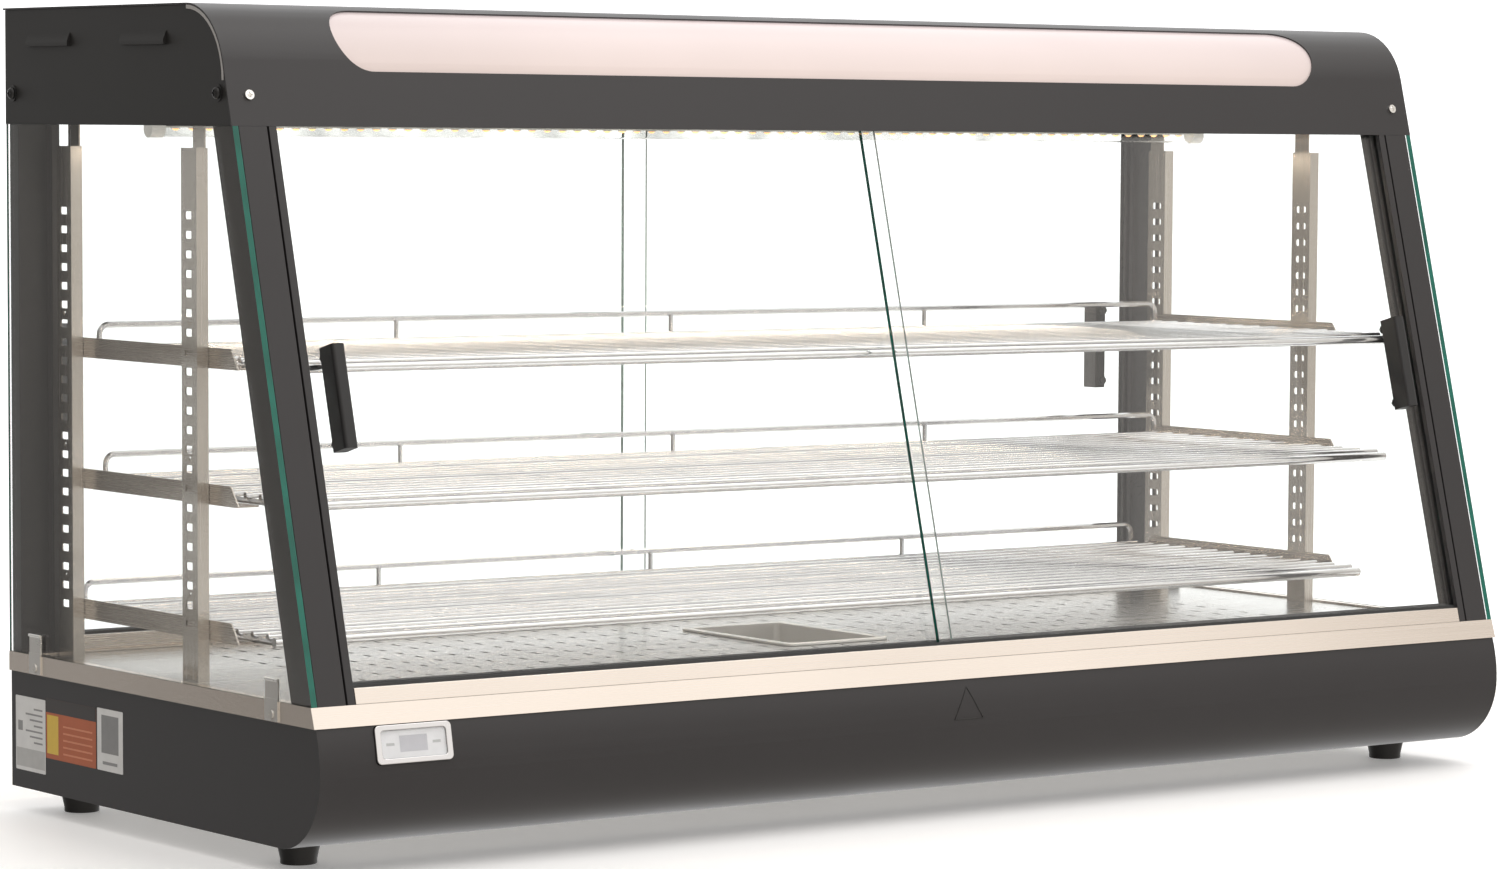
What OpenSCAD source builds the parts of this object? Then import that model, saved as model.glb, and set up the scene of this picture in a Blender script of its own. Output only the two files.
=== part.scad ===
// Heated countertop display case: a sheet steel base with heaters and a fan, a stainless
// worktop rail, a sloping glazed front with two sliding doors, a straight glazed back with two
// more, glass sides, three wire shelves on slotted uprights and a lit canopy.
// X runs along the case, -Y faces the customer, +Z is up, and the case stands on Z = 0.

/* [Case] */
// Width over the worktop rail and the canopy
case_w = 1196; // [1000:1:1500]
// Depth of the worktop rail at its top
rail_d = 478; // [420:1:600]
// Lean of the front glazing from upright, in degrees
lean = 15; // [8:1:18]
// Sheet thickness of the painted panels
sheet_t = 1.5; // [0.8:0.1:2]

/* [Base] */
// Height of a foot
foot_h = 19.5; // [12:0.5:30]
// Diameter of a foot at its top
foot_d = 34; // [24:1:44]
// Height of the base below the worktop rail
base_h = 94; // [85:1:140]
// How far the front of the base swells past the rail
nose_proud = 9.7; // [6:0.1:14]
// Radius of the swell above its widest point
nose_upper_r = 109; // [90:1:160]
// Radius of the swell below its widest point
nose_lower_r = 57.8; // [45:0.1:62]
// How far the base side panels stand inside the rail
base_inset = 2; // [1:0.5:6]

/* [Worktop] */
// Height of the worktop rail band
rail_h = 15.5; // [10:0.5:25]
// Thickness of the worktop sheet
rail_t = 1.5; // [1:0.1:2]
// Width of the worktop between the case side and the deck
rail_rim = 13; // [12:0.5:20]
// Width of the worktop in front of and behind the deck
rail_land = 34; // [30:1:45]
// Slot pitch of the deck along the case
slot_pitch_x = 31; // [24:1:45]
// Slot pitch of the deck from front to back
slot_pitch_y = 29; // [24:1:45]
// Length of a deck slot
slot_l = 12; // [6:1:18]
// Width of a deck slot
slot_w = 3.5; // [2:0.5:6]
// Plain margin at each end of the deck
deck_margin = 118; // [60:1:160]

/* [Water tray] */
// Width of the tray flange
tray_w = 106; // [90:1:140]
// Length of the tray flange
tray_l = 160; // [130:1:180]
// Depth of the tray well
tray_depth = 38; // [20:1:42]
// Width of the tray flange lip
tray_lip = 7; // [5:0.5:12]

/* [Glazing] */
// Height of the glazed opening
glaze_h = 424.5; // [380:0.5:520]
// Thickness of the side glass
side_t = 5; // [4:0.5:6]
// Thickness of the sliding panes
pane_t = 4; // [3:0.5:5]
// Overlap of two sliding panes when they are shut
pane_lap = 19; // [12:1:30]
// Clearance on each side of a pane in its track
pane_gap = 0.6; // [0.4:0.1:1]
// Height of the stainless sill
sill_h = 12; // [9:0.5:18]
// Width of a front corner post
post_w = 24; // [18:1:34]
// Depth of a front corner post
post_d = 34; // [28:1:40]
// Width of a door jamb
jamb_w = 6.7; // [5.5:0.1:10]
// Shadow gap between post and jamb
jamb_gap = 1.5; // [1:0.1:3]
// Width of a rear corner post
rear_post_w = 26; // [20:1:40]

/* [Canopy] */
// Height of the canopy
canopy_h = 92.5; // [80:0.5:110]
// Outer radius where the canopy front turns into its top
canopy_r = 58.5; // [50:0.5:64]
// How far the canopy reaches past the rear of the rail
canopy_rear = 4; // [2:0.5:10]
// Length of the lit window in the canopy
window_l = 995; // [700:1:1040]
// Width of the lit window across the curve
window_w = 60; // [40:1:61]
// Slope of the lit window from level, in degrees
window_tilt = 51.5; // [48:0.5:54]
// Width of the bright trim round each canopy end
trim_w = 3; // [2:0.5:5]

/* [Lamp] */
// Diameter of the lamp tube
lamp_d = 13; // [10:0.5:16]
// Length of the lamp between its caps
lamp_l = 1060; // [800:1:1060]
// Distance of the lamp behind the middle of the case
lamp_y = 100; // [60:1:120]

/* [Uprights] */
// Depth of the slotted walls of an upright
upright_d = 24; // [20:1:30]
// Width of an upright's plain front wall
upright_f = 10; // [8:0.5:14]
// Sheet thickness of uprights and shelf brackets
upright_t = 1.2; // [1:0.1:2]
// Height of the neck over an upright
neck_h = 17; // [10:1:25]
// Width of the neck over an upright
neck_w = 18; // [12:1:22]
// Pitch of the slots in an upright
step = 15; // [12:1:18]
// Height of one upright slot
hook_slot_h = 6; // [5.5:0.5:8]
// Width of one upright slot
hook_slot_w = 13; // [9:0.5:14]
// Distance from the case centre to the middle of the front uprights
front_upright = -12.5; // [-20:0.5:0]
// Distance from the case centre to the middle of the rear uprights
rear_upright = 190.5; // [170:0.5:192]

/* [Shelves] */
// Height of the lowest shelf bracket over the worktop
first_shelf = 29; // [25:1:45]
// Slots between one shelf and the next
shelf_steps = 7; // [6:1:8]
// Height of a shelf bracket
bracket_h = 16; // [14:1:20]
// Width of the ledge under a shelf
ledge_w = 20; // [14:1:26]
// Length of a bracket
bracket_l = 262; // [230:1:270]
// Length of a shelf along the case
shelf_l = 1108; // [900:1:1115]
// Depth of a shelf from its front rod to its back rail
shelf_d = 312; // [280:1:315]
// Diameter of a shelf wire
wire_d = 5; // [4:0.5:6]
// Diameter of the front rod
front_rod_d = 8; // [6:0.5:9]
// Pitch of the shelf wires
wire_pitch = 23; // [18:1:30]
// Height of the back rail over the wires
rail_rise = 18; // [12:1:30]

/* [Door handles] */
// Length of a handle
grip_l = 80; // [60:1:110]
// Width of a handle
grip_w = 11.5; // [8:0.5:18]
// Depth of a handle
grip_d = 19; // [14:0.5:24]
// Height of the handles' middle over the worktop
grip_z = 224; // [150:1:300]
// Distance from a handle's middle to the shut edge of its pane
grip_edge = 28; // [24:1:45]
// The same distance on the left rear pane
rear_left_edge = 19; // [17:1:45]

/* [Display] */
// Width of the display frame
show_w = 66; // [50:1:90]
// Height of the display frame
show_h = 29; // [20:1:34]
// How far the display frame stands out of the base
show_out = 1.6; // [1:0.1:3]

/* [Hidden] */
$fn = 48;

// Clearances
fit = 0.3;
cut = 1;
screw_hole = 4.4;

// Heights
base_z = foot_h;
rail_z = base_z + base_h;
top_z = rail_z + rail_h;
canopy_z = top_z + glaze_h;
roof_z = canopy_z + canopy_h;

// Front to back: the rear handle and the display end equally far from Y = 0
lane_a = 5;
show_dz = base_h - 15 - nose_lower_r;
show_tilt = asin(show_dz / nose_upper_r);
show_back = nose_upper_r * (1 - cos(show_tilt));
rear_reach = grip_d - lane_a - pane_gap;
front_reach = nose_proud - show_back + show_out * cos(show_tilt) + show_h / 2 * sin(show_tilt);
y_shift = (rear_reach - front_reach) / 2;
front_y = -rail_d / 2 - y_shift;
rear_y = rail_d / 2 - y_shift;
roof_rear_y = rear_y + canopy_rear;

// Half widths
half_w = case_w / 2;
base_x = half_w - base_inset;
glass_x = half_w - 0.5;
post_x = glass_x - side_t - 0.5;
jamb_x = post_x - post_w - jamb_gap;
door_x = jamb_x - jamb_w;
pane_x = door_x + 3.4;
upright_x = jamb_x + 2;

// Base nose
nose_y = front_y - nose_proud;
nose_z = base_z + nose_lower_r;
pan_front = nose_y + nose_lower_r + 20;

// Deck
deck_t = 1.2;
deck_top = top_z - rail_t - 0.2;
deck_x = half_w - rail_rim + 2;
deck_y = rail_d / 2 - rail_land + 3;
land_front = front_y + rail_land;
land_rear = rear_y - rail_land;

// Water tray
tray_x = 5;
tray_y = 5;
tray_t = 0.8;

// Sliding pane tracks, measured from the front plane or from the rear plane inwards
lane = pane_t + 2 * pane_gap;
rib = 4;
lane_b = lane_a + lane + rib;
track_d = lane_b + lane + 3;
gasket_h = 2;
groove_floor = top_z + 4;
pane_lift = 9;
pane_foot = groove_floor + fit;
pane_head = canopy_z + 9;
top_groove = pane_head + pane_lift;
track_roof = top_groove + 3;
front_lip = 4;

// Canopy profile
roof_c_z = roof_z - canopy_r;
roof_c_y = plane(roof_c_z) + canopy_r / cos(lean);

// Shelves, lowest first: heights, sideways play taken up and place of the front rod
shelf_z = [for (i = [0:2]) top_z + first_shelf + i * shelf_steps * step];
shelf_x = [6, 12, -1];
shelf_front = [-105, -130, -145];
hook_z = bracket_h - 4;
slot_count = 3 * shelf_steps + 1;
ledge_t = 1.5;
wire_z = ledge_t + 1.5 * wire_d - 0.8;

// Controls on the back
knob_x = -430;
control_z = base_z + base_h / 2;
knob_d = 40;
knob_proud = 11.7;
rocker_x = [-330, -280];
inlet_x = -525;
rocker_l = 21;
rocker_w = 9;

// Display on the front
show_x = -half_w + 83;
show_z = nose_z + show_dz;
show_y = nose_y + show_back;

// Lamp
lamp_z = canopy_z - 2.5;
ceiling_z = canopy_z + 8;

// Colours
charcoal = [0.25, 0.25, 0.26];
black = [0.09, 0.09, 0.09];
stainless = [0.74, 0.72, 0.69];
chrome = [0.85, 0.85, 0.86];
glass = [0.75, 0.92, 0.88, 0.35];
glow = [0.98, 0.9, 0.86];

// Y of the sloping front plane at a height, and a thickness turned into its level depth
function plane(z, d = 0) = front_y + (z - top_z) * tan(lean) + d;
function level(n) = n / cos(lean);

// Extrudes a side-view outline of Y and Z along X from x0 to x1
module side_view(x0, x1) {
  translate([x0, 0, 0]) rotate([90, 0, 90]) linear_extrude(x1 - x0) children();
}

// Upright box between two corners
module span(a, b) {
  translate(a) cube(b - a);
}

// Side view of a leaning layer between two heights and two depths behind the front plane
module layer(z0, z1, d0, d1) {
  polygon([[plane(z0, d0), z0], [plane(z1, d0), z1], [plane(z1, d1), z1], [plane(z0, d1), z0]]);
}

// Both halves of a mirrored pair
module pair() {
  union() {
    children();
    mirror([1, 0, 0]) children();
  }
}

// Places children on the front plane: X along the case, Y into it, Z up the slope
module on_front(x, z) {
  translate([x, plane(z), z]) rotate([-lean, 0, 0]) children();
}

// Long round bar along X
module bar_x(x0, x1, y, z, d) {
  translate([x0, y, z]) rotate([0, 90, 0]) cylinder(d = d, h = x1 - x0);
}

// Long round bar along Y
module bar_y(x, y0, y1, z, d) {
  translate([x, y0, z]) rotate([-90, 0, 0]) cylinder(d = d, h = y1 - y0);
}

// Stadium outline centred on the origin
module stadium(l, w) {
  square([l - w, w], center = true);
  for (s = [-1, 1]) translate([s * (l - w) / 2, 0]) circle(d = w);
}

// Rectangle with round corners, centred on the origin
module soft_square(l, w, r) {
  square([l - 2 * r, w], center = true);
  square([l, w - 2 * r], center = true);
  for (sx = [-1, 1], sy = [-1, 1]) translate([sx * (l / 2 - r), sy * (w / 2 - r)]) circle(r = r);
}

// Cross-slotted pan screw whose head faces +Z and whose head bottom is at Z = 0
module pan_screw(head_d, head_h, shank_d, shank_l) {
  difference() {
    union() {
      cylinder(d = head_d, h = head_h);
      translate([0, 0, -shank_l]) cylinder(d = shank_d, h = shank_l);
    }
    for (a = [0, 90]) rotate(a)
      translate([-head_d * 0.3, -0.4, head_h * 0.45]) cube([head_d * 0.6, 0.8, head_h]);
  }
}

// ---- Base ----

// Side view of the base, pulled in all round by inset
module base_outline(inset = 0) {
  intersection() {
    translate([nose_y + nose_lower_r, nose_z]) circle(r = nose_lower_r - inset, $fn = 96);
    translate([nose_y, base_z]) square([nose_lower_r + cut, nose_lower_r]);
  }
  intersection() {
    translate([nose_y + nose_upper_r, nose_z]) circle(r = nose_upper_r - inset, $fn = 128);
    translate([nose_y, nose_z - cut])
      square([nose_lower_r + cut, rail_z - inset - nose_z + cut]);
  }
  translate([nose_y + nose_lower_r, base_z + inset])
    square([rear_y - nose_y - nose_lower_r - inset, base_h - 2 * inset]);
}

module base_front_panel() {
  color(charcoal) difference() {
    side_view(-base_x + sheet_t, base_x - sheet_t) difference() {
      base_outline();
      base_outline(sheet_t);
      translate([pan_front, 0]) square([rail_d, rail_z + cut]);
    }
    on_display() translate([0, 0, -10]) linear_extrude(20)
      soft_square(show_w + 2 * fit, show_h + 2 * fit, 4);
  }
}

module base_side() {
  color(charcoal) side_view(base_x - sheet_t, base_x) base_outline();
}

module base_side_left() {
  mirror([1, 0, 0]) base_side();
}

module base_side_right() {
  base_side();
}

// Bottom sheet with its two turned-up sides, and the holes for the feet and the fan
module base_pan() {
  in_x = base_x - sheet_t;
  flange = 15;
  color(stainless) difference() {
    union() {
      span([-in_x, pan_front, base_z], [in_x, rear_y - sheet_t, base_z + sheet_t]);
      for (s = [-1, 1]) span(
        [s > 0 ? in_x - sheet_t : -in_x, pan_front, base_z],
        [s > 0 ? in_x : -in_x + sheet_t, rear_y - sheet_t, base_z + flange]);
    }
    for (p = foot_places()) translate([p[0], p[1], base_z - cut])
      cylinder(d = 6.4, h = flange);
    translate([0, fan_y, base_z - cut]) cylinder(d = fan_w - 14, h = flange);
  }
}

// Back sheet with openings for the controls and two rows of vent slots
module base_rear_panel() {
  in_x = base_x - sheet_t;
  color(charcoal) difference() {
    span([-in_x, rear_y - sheet_t, base_z], [in_x, rear_y, rail_z]);
    translate([knob_x, rear_y + cut, control_z]) rotate([90, 0, 0])
      cylinder(d = shaft_d + 2, h = 3 * cut + sheet_t);
    for (x = rocker_x) span(
      [x - rocker_l / 2 - 2, rear_y - sheet_t - cut, control_z - rocker_w / 2 - 2],
      [x + rocker_l / 2 + 2, rear_y + cut, control_z + rocker_w / 2 + 2]);
    span([inlet_x - inlet_w / 2, rear_y - sheet_t - cut, control_z - inlet_h / 2],
      [inlet_x + inlet_w / 2, rear_y + cut, control_z + inlet_h / 2]);
    for (i = [0:11], j = [0, 1]) span(
      [20 + i * 44, rear_y - sheet_t - cut, base_z + 30 + j * 24],
      [48 + i * 44, rear_y + cut, base_z + 36 + j * 24]);
  }
}

function foot_places() = [for (sx = [-1, 1], y = [front_y + 90, rear_y - 43])
  [sx * (half_w - 42), y]];

// Ribbed rubber feet, narrower at the floor
module feet() {
  color(black) for (p = foot_places()) translate([p[0], p[1], 0]) difference() {
    union() {
      cylinder(d = foot_d - 6, h = 4);
      translate([0, 0, 4]) cylinder(d1 = foot_d - 6, d2 = foot_d - 1, h = foot_h - 8);
      translate([0, 0, foot_h - 4]) cylinder(d = foot_d + 6, h = 4);
    }
    translate([0, 0, -cut]) cylinder(d = 14, h = 7 + cut);
    translate([0, 0, -cut]) cylinder(d = 5.4, h = foot_h + 2 * cut);
  }
}

// ---- Worktop ----

// Folded stainless rail: a band round the case and the worktop inside it
module worktop_rail() {
  toe = 5;
  color(stainless) difference() {
    side_view(-half_w, half_w) polygon([
      [front_y - toe, rail_z], [front_y, top_z], [rear_y, top_z], [rear_y, rail_z]]);
    side_view(-half_w + rail_t, half_w - rail_t) polygon([
      [front_y - toe + rail_t, rail_z - cut], [front_y - toe + rail_t, rail_z],
      [front_y + rail_t, top_z - rail_t], [rear_y - rail_t, top_z - rail_t],
      [rear_y - rail_t, rail_z - cut]]);
    span([-half_w + rail_rim, land_front, rail_z - cut],
      [half_w - rail_rim, land_rear, top_z + cut]);
    for (s = [-1, 1], y = clip_y) translate([s * half_w, y, clip_screw_z]) rotate([0, 90, 0])
      cylinder(d = screw_hole, h = 8, center = true);
  }
}

// Slotted hot-air deck with its down-turned edges and the tray opening
module deck_plate() {
  skirt = 10;
  nx = floor((deck_x - deck_margin) / slot_pitch_x);
  ny = floor((deck_y - 30) / slot_pitch_y);
  mid_y = (land_front + land_rear) / 2;
  y0 = mid_y - deck_y;
  y1 = mid_y + deck_y;
  hole_x = tray_w / 2 - tray_lip + 1;
  hole_y = tray_l / 2 - tray_lip + 1;
  color(stainless) {
    translate([0, mid_y, deck_top - deck_t]) linear_extrude(deck_t) difference() {
      square([2 * deck_x, 2 * deck_y], center = true);
      translate([tray_x, tray_y - mid_y]) square([2 * hole_x, 2 * hole_y], center = true);
      for (i = [-nx:nx], j = [-ny:ny])
        if (abs(i * slot_pitch_x - tray_x) > tray_w / 2 + 6
          || abs(j * slot_pitch_y + mid_y - tray_y) > tray_l / 2 + slot_l / 2)
          translate([i * slot_pitch_x, j * slot_pitch_y])
            square([slot_w, slot_l], center = true);
    }
    difference() {
      span([-deck_x, y0, deck_top - skirt], [deck_x, y1, deck_top - deck_t]);
      span([-deck_x + deck_t, y0 + deck_t, deck_top - skirt - cut],
        [deck_x - deck_t, y1 - deck_t, deck_top]);
    }
  }
}

// Lift-out water tray with a flat flange
module water_tray() {
  color(stainless) translate([tray_x, tray_y, deck_top + 0.2]) difference() {
    union() {
      linear_extrude(2) soft_square(tray_w, tray_l, 8);
      translate([0, 0, -tray_depth])
        linear_extrude(tray_depth + cut)
          soft_square(tray_w - 2 * tray_lip, tray_l - 2 * tray_lip, 6);
    }
    translate([0, 0, -tray_depth + tray_t])
      linear_extrude(tray_depth + 4)
        soft_square(tray_w - 2 * tray_lip - 2 * tray_t, tray_l - 2 * tray_lip - 2 * tray_t, 5);
  }
}

// ---- Heat ----

heater_d = 8;
heater_bend = 55;
heater_z = base_z + 55;
heater_in = 110;
heater_out = half_w - 130;

// One hairpin element to each side of the fan, with a bracket foot at its outer end
module heater_elements() {
  color([0.45, 0.42, 0.4]) pair() {
    translate([heater_out, 0, heater_z]) rotate([0, 0, -90])
      rotate_extrude(angle = 180) translate([heater_bend, 0]) circle(d = heater_d);
    for (y = [-heater_bend, heater_bend])
      bar_x(heater_in, heater_out, y, heater_z, heater_d);
    span([heater_in + 6, -heater_bend - 10, base_z + sheet_t],
      [heater_in + 8, heater_bend + 10, heater_z + 8]);
  }
}

fan_w = 120;
fan_h = 34;
fan_y = 10;
fan_z = base_z + sheet_t;
fan_hub = 40;
shaft_d = 6;

// Fan housing, its motor hub and the four struts between them
module fan_frame() {
  color(black) translate([0, fan_y, fan_z]) {
    difference() {
      translate([-fan_w / 2, -fan_w / 2, 0]) cube([fan_w, fan_w, fan_h]);
      translate([0, 0, -cut]) cylinder(d = fan_w - 6, h = fan_h + 2 * cut, $fn = 96);
    }
    difference() {
      union() {
        cylinder(d = fan_hub, h = 6);
        for (a = [45:90:315]) rotate(a) translate([fan_hub / 2 - 2, -3, 0])
          cube([(fan_w - fan_hub) / 2 + 1, 6, 4]);
      }
      translate([0, 0, -cut]) cylinder(d = 5, h = 6 + 2 * cut);
    }
  }
}

// Seven-bladed rotor on its spindle
module fan_rotor() {
  blades = 7;
  color([0.15, 0.15, 0.15]) translate([0, fan_y, fan_z]) union() {
    translate([0, 0, 0.5]) cylinder(d = 4.9, h = 8);
    translate([0, 0, 7]) cylinder(d = fan_hub, h = fan_h - 10);
    for (i = [0:blades - 1]) rotate(i * 360 / blades)
      translate([fan_hub / 2 - 1, 0, 7 + (fan_h - 10) / 2]) rotate([35, 0, 0])
        translate([0, -13, -0.9]) cube([fan_w / 2 - 5 - fan_hub / 2, 26, 1.8]);
  }
}

// ---- Sills, tracks and posts ----

// Leaning stainless sill with two pane grooves
module front_sill() {
  color(stainless) side_view(-door_x + fit, door_x - fit) difference() {
    layer(top_z, top_z + sill_h, 0, track_d + 6);
    for (d = [lane_a, lane_b]) layer(groove_floor, top_z + sill_h + cut, d - 1, d + lane + 1);
  }
}

module rear_sill() {
  color(stainless) side_view(-door_x + fit, door_x - fit) difference() {
    translate([rear_y - track_d - 6, top_z]) square([track_d + 6, sill_h]);
    for (d = [lane_a, lane_b])
      translate([rear_y - d - lane - 1, groove_floor]) square([lane + 2, sill_h]);
  }
}

// Dark glides that line the grooves and stand a little above the sills
module sill_gaskets() {
  z1 = top_z + sill_h + gasket_h;
  x = door_x - fit;
  color(black) {
    for (d = [lane_a, lane_b], s = [0, 1])
      side_view(-x, x)
        layer(groove_floor, z1, s > 0 ? d + lane : d - 1, s > 0 ? d + lane + 1 : d);
    for (d = [lane_a, lane_b], s = [0, 1])
      side_view(-x, x)
        translate([rear_y - d - (s > 0 ? lane + 1 : 0), groove_floor]) square([1, z1 - groove_floor]);
  }
}

module front_top_track() {
  color(charcoal) side_view(-door_x + fit, door_x - fit) difference() {
    layer(canopy_z + sheet_t, track_roof, front_lip, track_d + 2);
    for (d = [lane_a, lane_b]) layer(canopy_z, top_groove, d, d + lane);
  }
}

module rear_top_track() {
  color(charcoal) side_view(-door_x + fit, door_x - fit) difference() {
    translate([rear_y - track_d - 2, canopy_z + sheet_t])
      square([track_d - 1, track_roof - canopy_z - sheet_t]);
    for (d = [lane_a, lane_b])
      translate([rear_y - d - lane, canopy_z]) square([lane, top_groove - canopy_z]);
  }
}

// Leaning corner posts with the tongue that backs the shadow gap
module front_posts() {
  color(charcoal) pair() union() {
    side_view(post_x - post_w, post_x) layer(top_z, canopy_z, 0, post_d);
    side_view(jamb_x, post_x - post_w + cut) layer(top_z, canopy_z, 4, post_d - 4);
  }
}

// Leaning jambs with the grooves that take the pane edges
module door_jambs() {
  color(charcoal) pair() difference() {
    side_view(door_x, jamb_x) layer(top_z, canopy_z, 0, track_d + 4);
    for (d = [lane_a, lane_b]) side_view(door_x - cut, pane_x + fit)
      layer(top_z - cut, canopy_z + cut, d, d + lane);
  }
}

// Rear corner posts, each with a grooved jamb on its inner side
module rear_posts() {
  depth = 16;
  color(charcoal) pair() difference() {
    union() {
      span([post_x - rear_post_w, rear_y - depth, top_z], [post_x, rear_y - 1, canopy_z]);
      span([door_x, rear_y - track_d - 2, top_z],
        [post_x - rear_post_w + cut, rear_y - 3, canopy_z]);
    }
    for (d = [lane_a, lane_b]) span([door_x - cut, rear_y - d - lane, top_z - cut],
      [pane_x + fit, rear_y - d, canopy_z + cut]);
  }
}

module side_glass() {
  color(glass) side_view(glass_x - side_t, glass_x) polygon([
    [plane(top_z), top_z], [plane(canopy_z), canopy_z],
    [rear_y, canopy_z], [rear_y, top_z]]);
}

module side_glass_left() {
  mirror([1, 0, 0]) side_glass();
}

module side_glass_right() {
  side_glass();
}

clip_w = 19;
clip_t = 1.2;
clip_y = [plane(top_z) + 56, rear_y - 46];
clip_screw_z = top_z - 10;

// Spring clips screwed to the rail, holding the foot of the side glass
module glass_clips() {
  rise = 16;
  color(stainless) pair() for (y = clip_y) difference() {
    union() {
      span([half_w, y - clip_w / 2, rail_z + 0.5], [half_w + clip_t, y + clip_w / 2, top_z + 2]);
      span([glass_x, y - clip_w / 2, top_z + 2 - clip_t],
        [half_w + clip_t, y + clip_w / 2, top_z + 2]);
      span([glass_x, y - clip_w / 2, top_z + 2 - clip_t],
        [glass_x + clip_t, y + clip_w / 2, top_z + rise]);
      translate([glass_x + clip_t, y - clip_w / 2, top_z + rise]) rotate([-90, 0, 0])
        cylinder(r = clip_t, h = clip_w);
    }
    translate([half_w - cut, y, clip_screw_z]) rotate([0, 90, 0])
      cylinder(d = screw_hole, h = 4 * cut);
  }
}

// ---- Canopy ----

// Side view of the canopy, pulled in all round by inset
module canopy_outline(inset = 0) {
  rear = roof_rear_y - inset;
  intersection() {
    translate([roof_c_y, roof_c_z]) circle(r = canopy_r - inset, $fn = 128);
    translate([roof_c_y - canopy_r, roof_c_z]) square([canopy_r + cut, canopy_r]);
  }
  polygon([
    [plane(canopy_z, level(inset)), canopy_z],
    [roof_c_y - (canopy_r - inset) * cos(lean), roof_c_z + (canopy_r - inset) * sin(lean)],
    [roof_c_y, roof_c_z], [roof_c_y, roof_z - inset], [rear, roof_z - inset], [rear, canopy_z]]);
}

// Middle of the window, square to the chord of the curve that it spans
window_y = roof_c_y - (canopy_r - 3) * sin(window_tilt);
window_z = roof_c_z + (canopy_r - 3) * cos(window_tilt);

// Front and top sheet, with its lower return and the stadium window
module canopy_cover() {
  color(charcoal) difference() {
    union() {
      side_view(-half_w, half_w) difference() {
        canopy_outline();
        canopy_outline(sheet_t);
        translate([roof_rear_y - 2, canopy_z - cut]) square([4, canopy_h - sheet_t + cut]);
      }
      side_view(-half_w + sheet_t, half_w - sheet_t)
        layer(canopy_z, canopy_z + sheet_t, sheet_t / 2, front_lip);
    }
    translate([0, window_y, window_z]) rotate([window_tilt, 0, 0])
      translate([0, 0, -20]) linear_extrude(40) stadium(window_l, window_w);
    for (s = [-1, 1]) on_front(s * face_screw_x, face_screw_z) rotate([90, 0, 0])
      cylinder(d = screw_hole, h = 20, center = true);
  }
}

// Curved diffuser behind the window
module canopy_window() {
  reach = window_l / 2 + 14;
  gap = sheet_t + fit;
  thick = 2;
  color(glow) pair() side_view(0, reach) difference() {
    canopy_outline(gap);
    canopy_outline(gap + thick);
    translate([roof_c_y + 4, 0]) square([rail_d, roof_z]);
    translate([front_y, 0]) square([rail_d, roof_c_z - 8]);
  }
}

// Bright strip along each curved end of the canopy
module canopy_trims() {
  color(chrome) pair() side_view(half_w - 6, half_w - 0.5) difference() {
    intersection() {
      translate([roof_c_y, roof_c_z]) circle(r = canopy_r - sheet_t - 0.1, $fn = 128);
      translate([roof_c_y - canopy_r, roof_c_z]) square(canopy_r);
    }
    translate([roof_c_y, roof_c_z]) circle(r = canopy_r - sheet_t - trim_w, $fn = 128);
  }
}

louvre_y = [[plane(canopy_z) + 101, plane(canopy_z) + 171],
  [plane(canopy_z) + 256, plane(canopy_z) + 326]];

// Flat end sheet inside the cover, with two pressed louvres
module canopy_end() {
  x1 = half_w - 1;
  inset = sheet_t + 0.1;
  trim_in = trim_w + 0.2;
  color(black) difference() {
    union() {
      side_view(x1 - sheet_t, x1) difference() {
        canopy_outline(inset);
        difference() {
          translate([roof_c_y - canopy_r, roof_c_z]) square(canopy_r);
          translate([roof_c_y, roof_c_z]) circle(r = canopy_r - inset - trim_in, $fn = 128);
        }
        translate([roof_rear_y - sheet_t - 0.5, canopy_z - cut])
          square([sheet_t + 1, canopy_h + 2 * cut]);
      }
      for (p = louvre_y) louvre_hood(x1, p);
    }
    for (p = louvre_y) span(
      [x1 - sheet_t - cut, p[0] + 3, roof_z - 31], [x1 + 1, p[1] - 3, roof_z - 27]);
    for (y = end_screw_y) translate([x1, y, end_screw_z]) rotate([0, 90, 0])
      cylinder(d = screw_hole, h = 12, center = true);
  }
}

// Pressed hood over one louvre slot
module louvre_hood(x, p) {
  translate([0, p[1], 0]) rotate([90, 0, 0]) linear_extrude(p[1] - p[0]) polygon([
    [x - 0.5, roof_z - 31], [x + 2.8, roof_z - 31], [x + 2.8, roof_z - 27],
    [x, roof_z - 20], [x - 0.5, roof_z - 20]]);
}

module canopy_end_left() {
  mirror([1, 0, 0]) canopy_end();
}

module canopy_end_right() {
  canopy_end();
}

// Ceiling sheet over the shelves, between the top tracks
module canopy_ceiling() {
  t = 1.2;
  x = half_w - 4;
  color(stainless) span([-x, plane(ceiling_z, track_d + 3), ceiling_z],
    [x, rear_y - track_d - 3, ceiling_z + t]);
}

module canopy_rear_panel() {
  x = half_w - 3;
  color(charcoal) difference() {
    span([-x, roof_rear_y - sheet_t - 0.4, canopy_z], [x, roof_rear_y - 0.4, roof_z - sheet_t - 0.2]);
    for (i = [-8:8]) span([i * 60 - 20, roof_rear_y - 4, canopy_z + 56],
      [i * 60 + 20, roof_rear_y + cut, canopy_z + 61]);
  }
}

// Clear lamp tube
module lamp_tube() {
  color(glass) translate([-lamp_l / 2, lamp_y, lamp_z]) rotate([0, 90, 0]) difference() {
    cylinder(d = lamp_d, h = lamp_l);
    translate([0, 0, -cut]) cylinder(d = lamp_d - 1.6, h = lamp_l + 2 * cut);
  }
}

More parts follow.
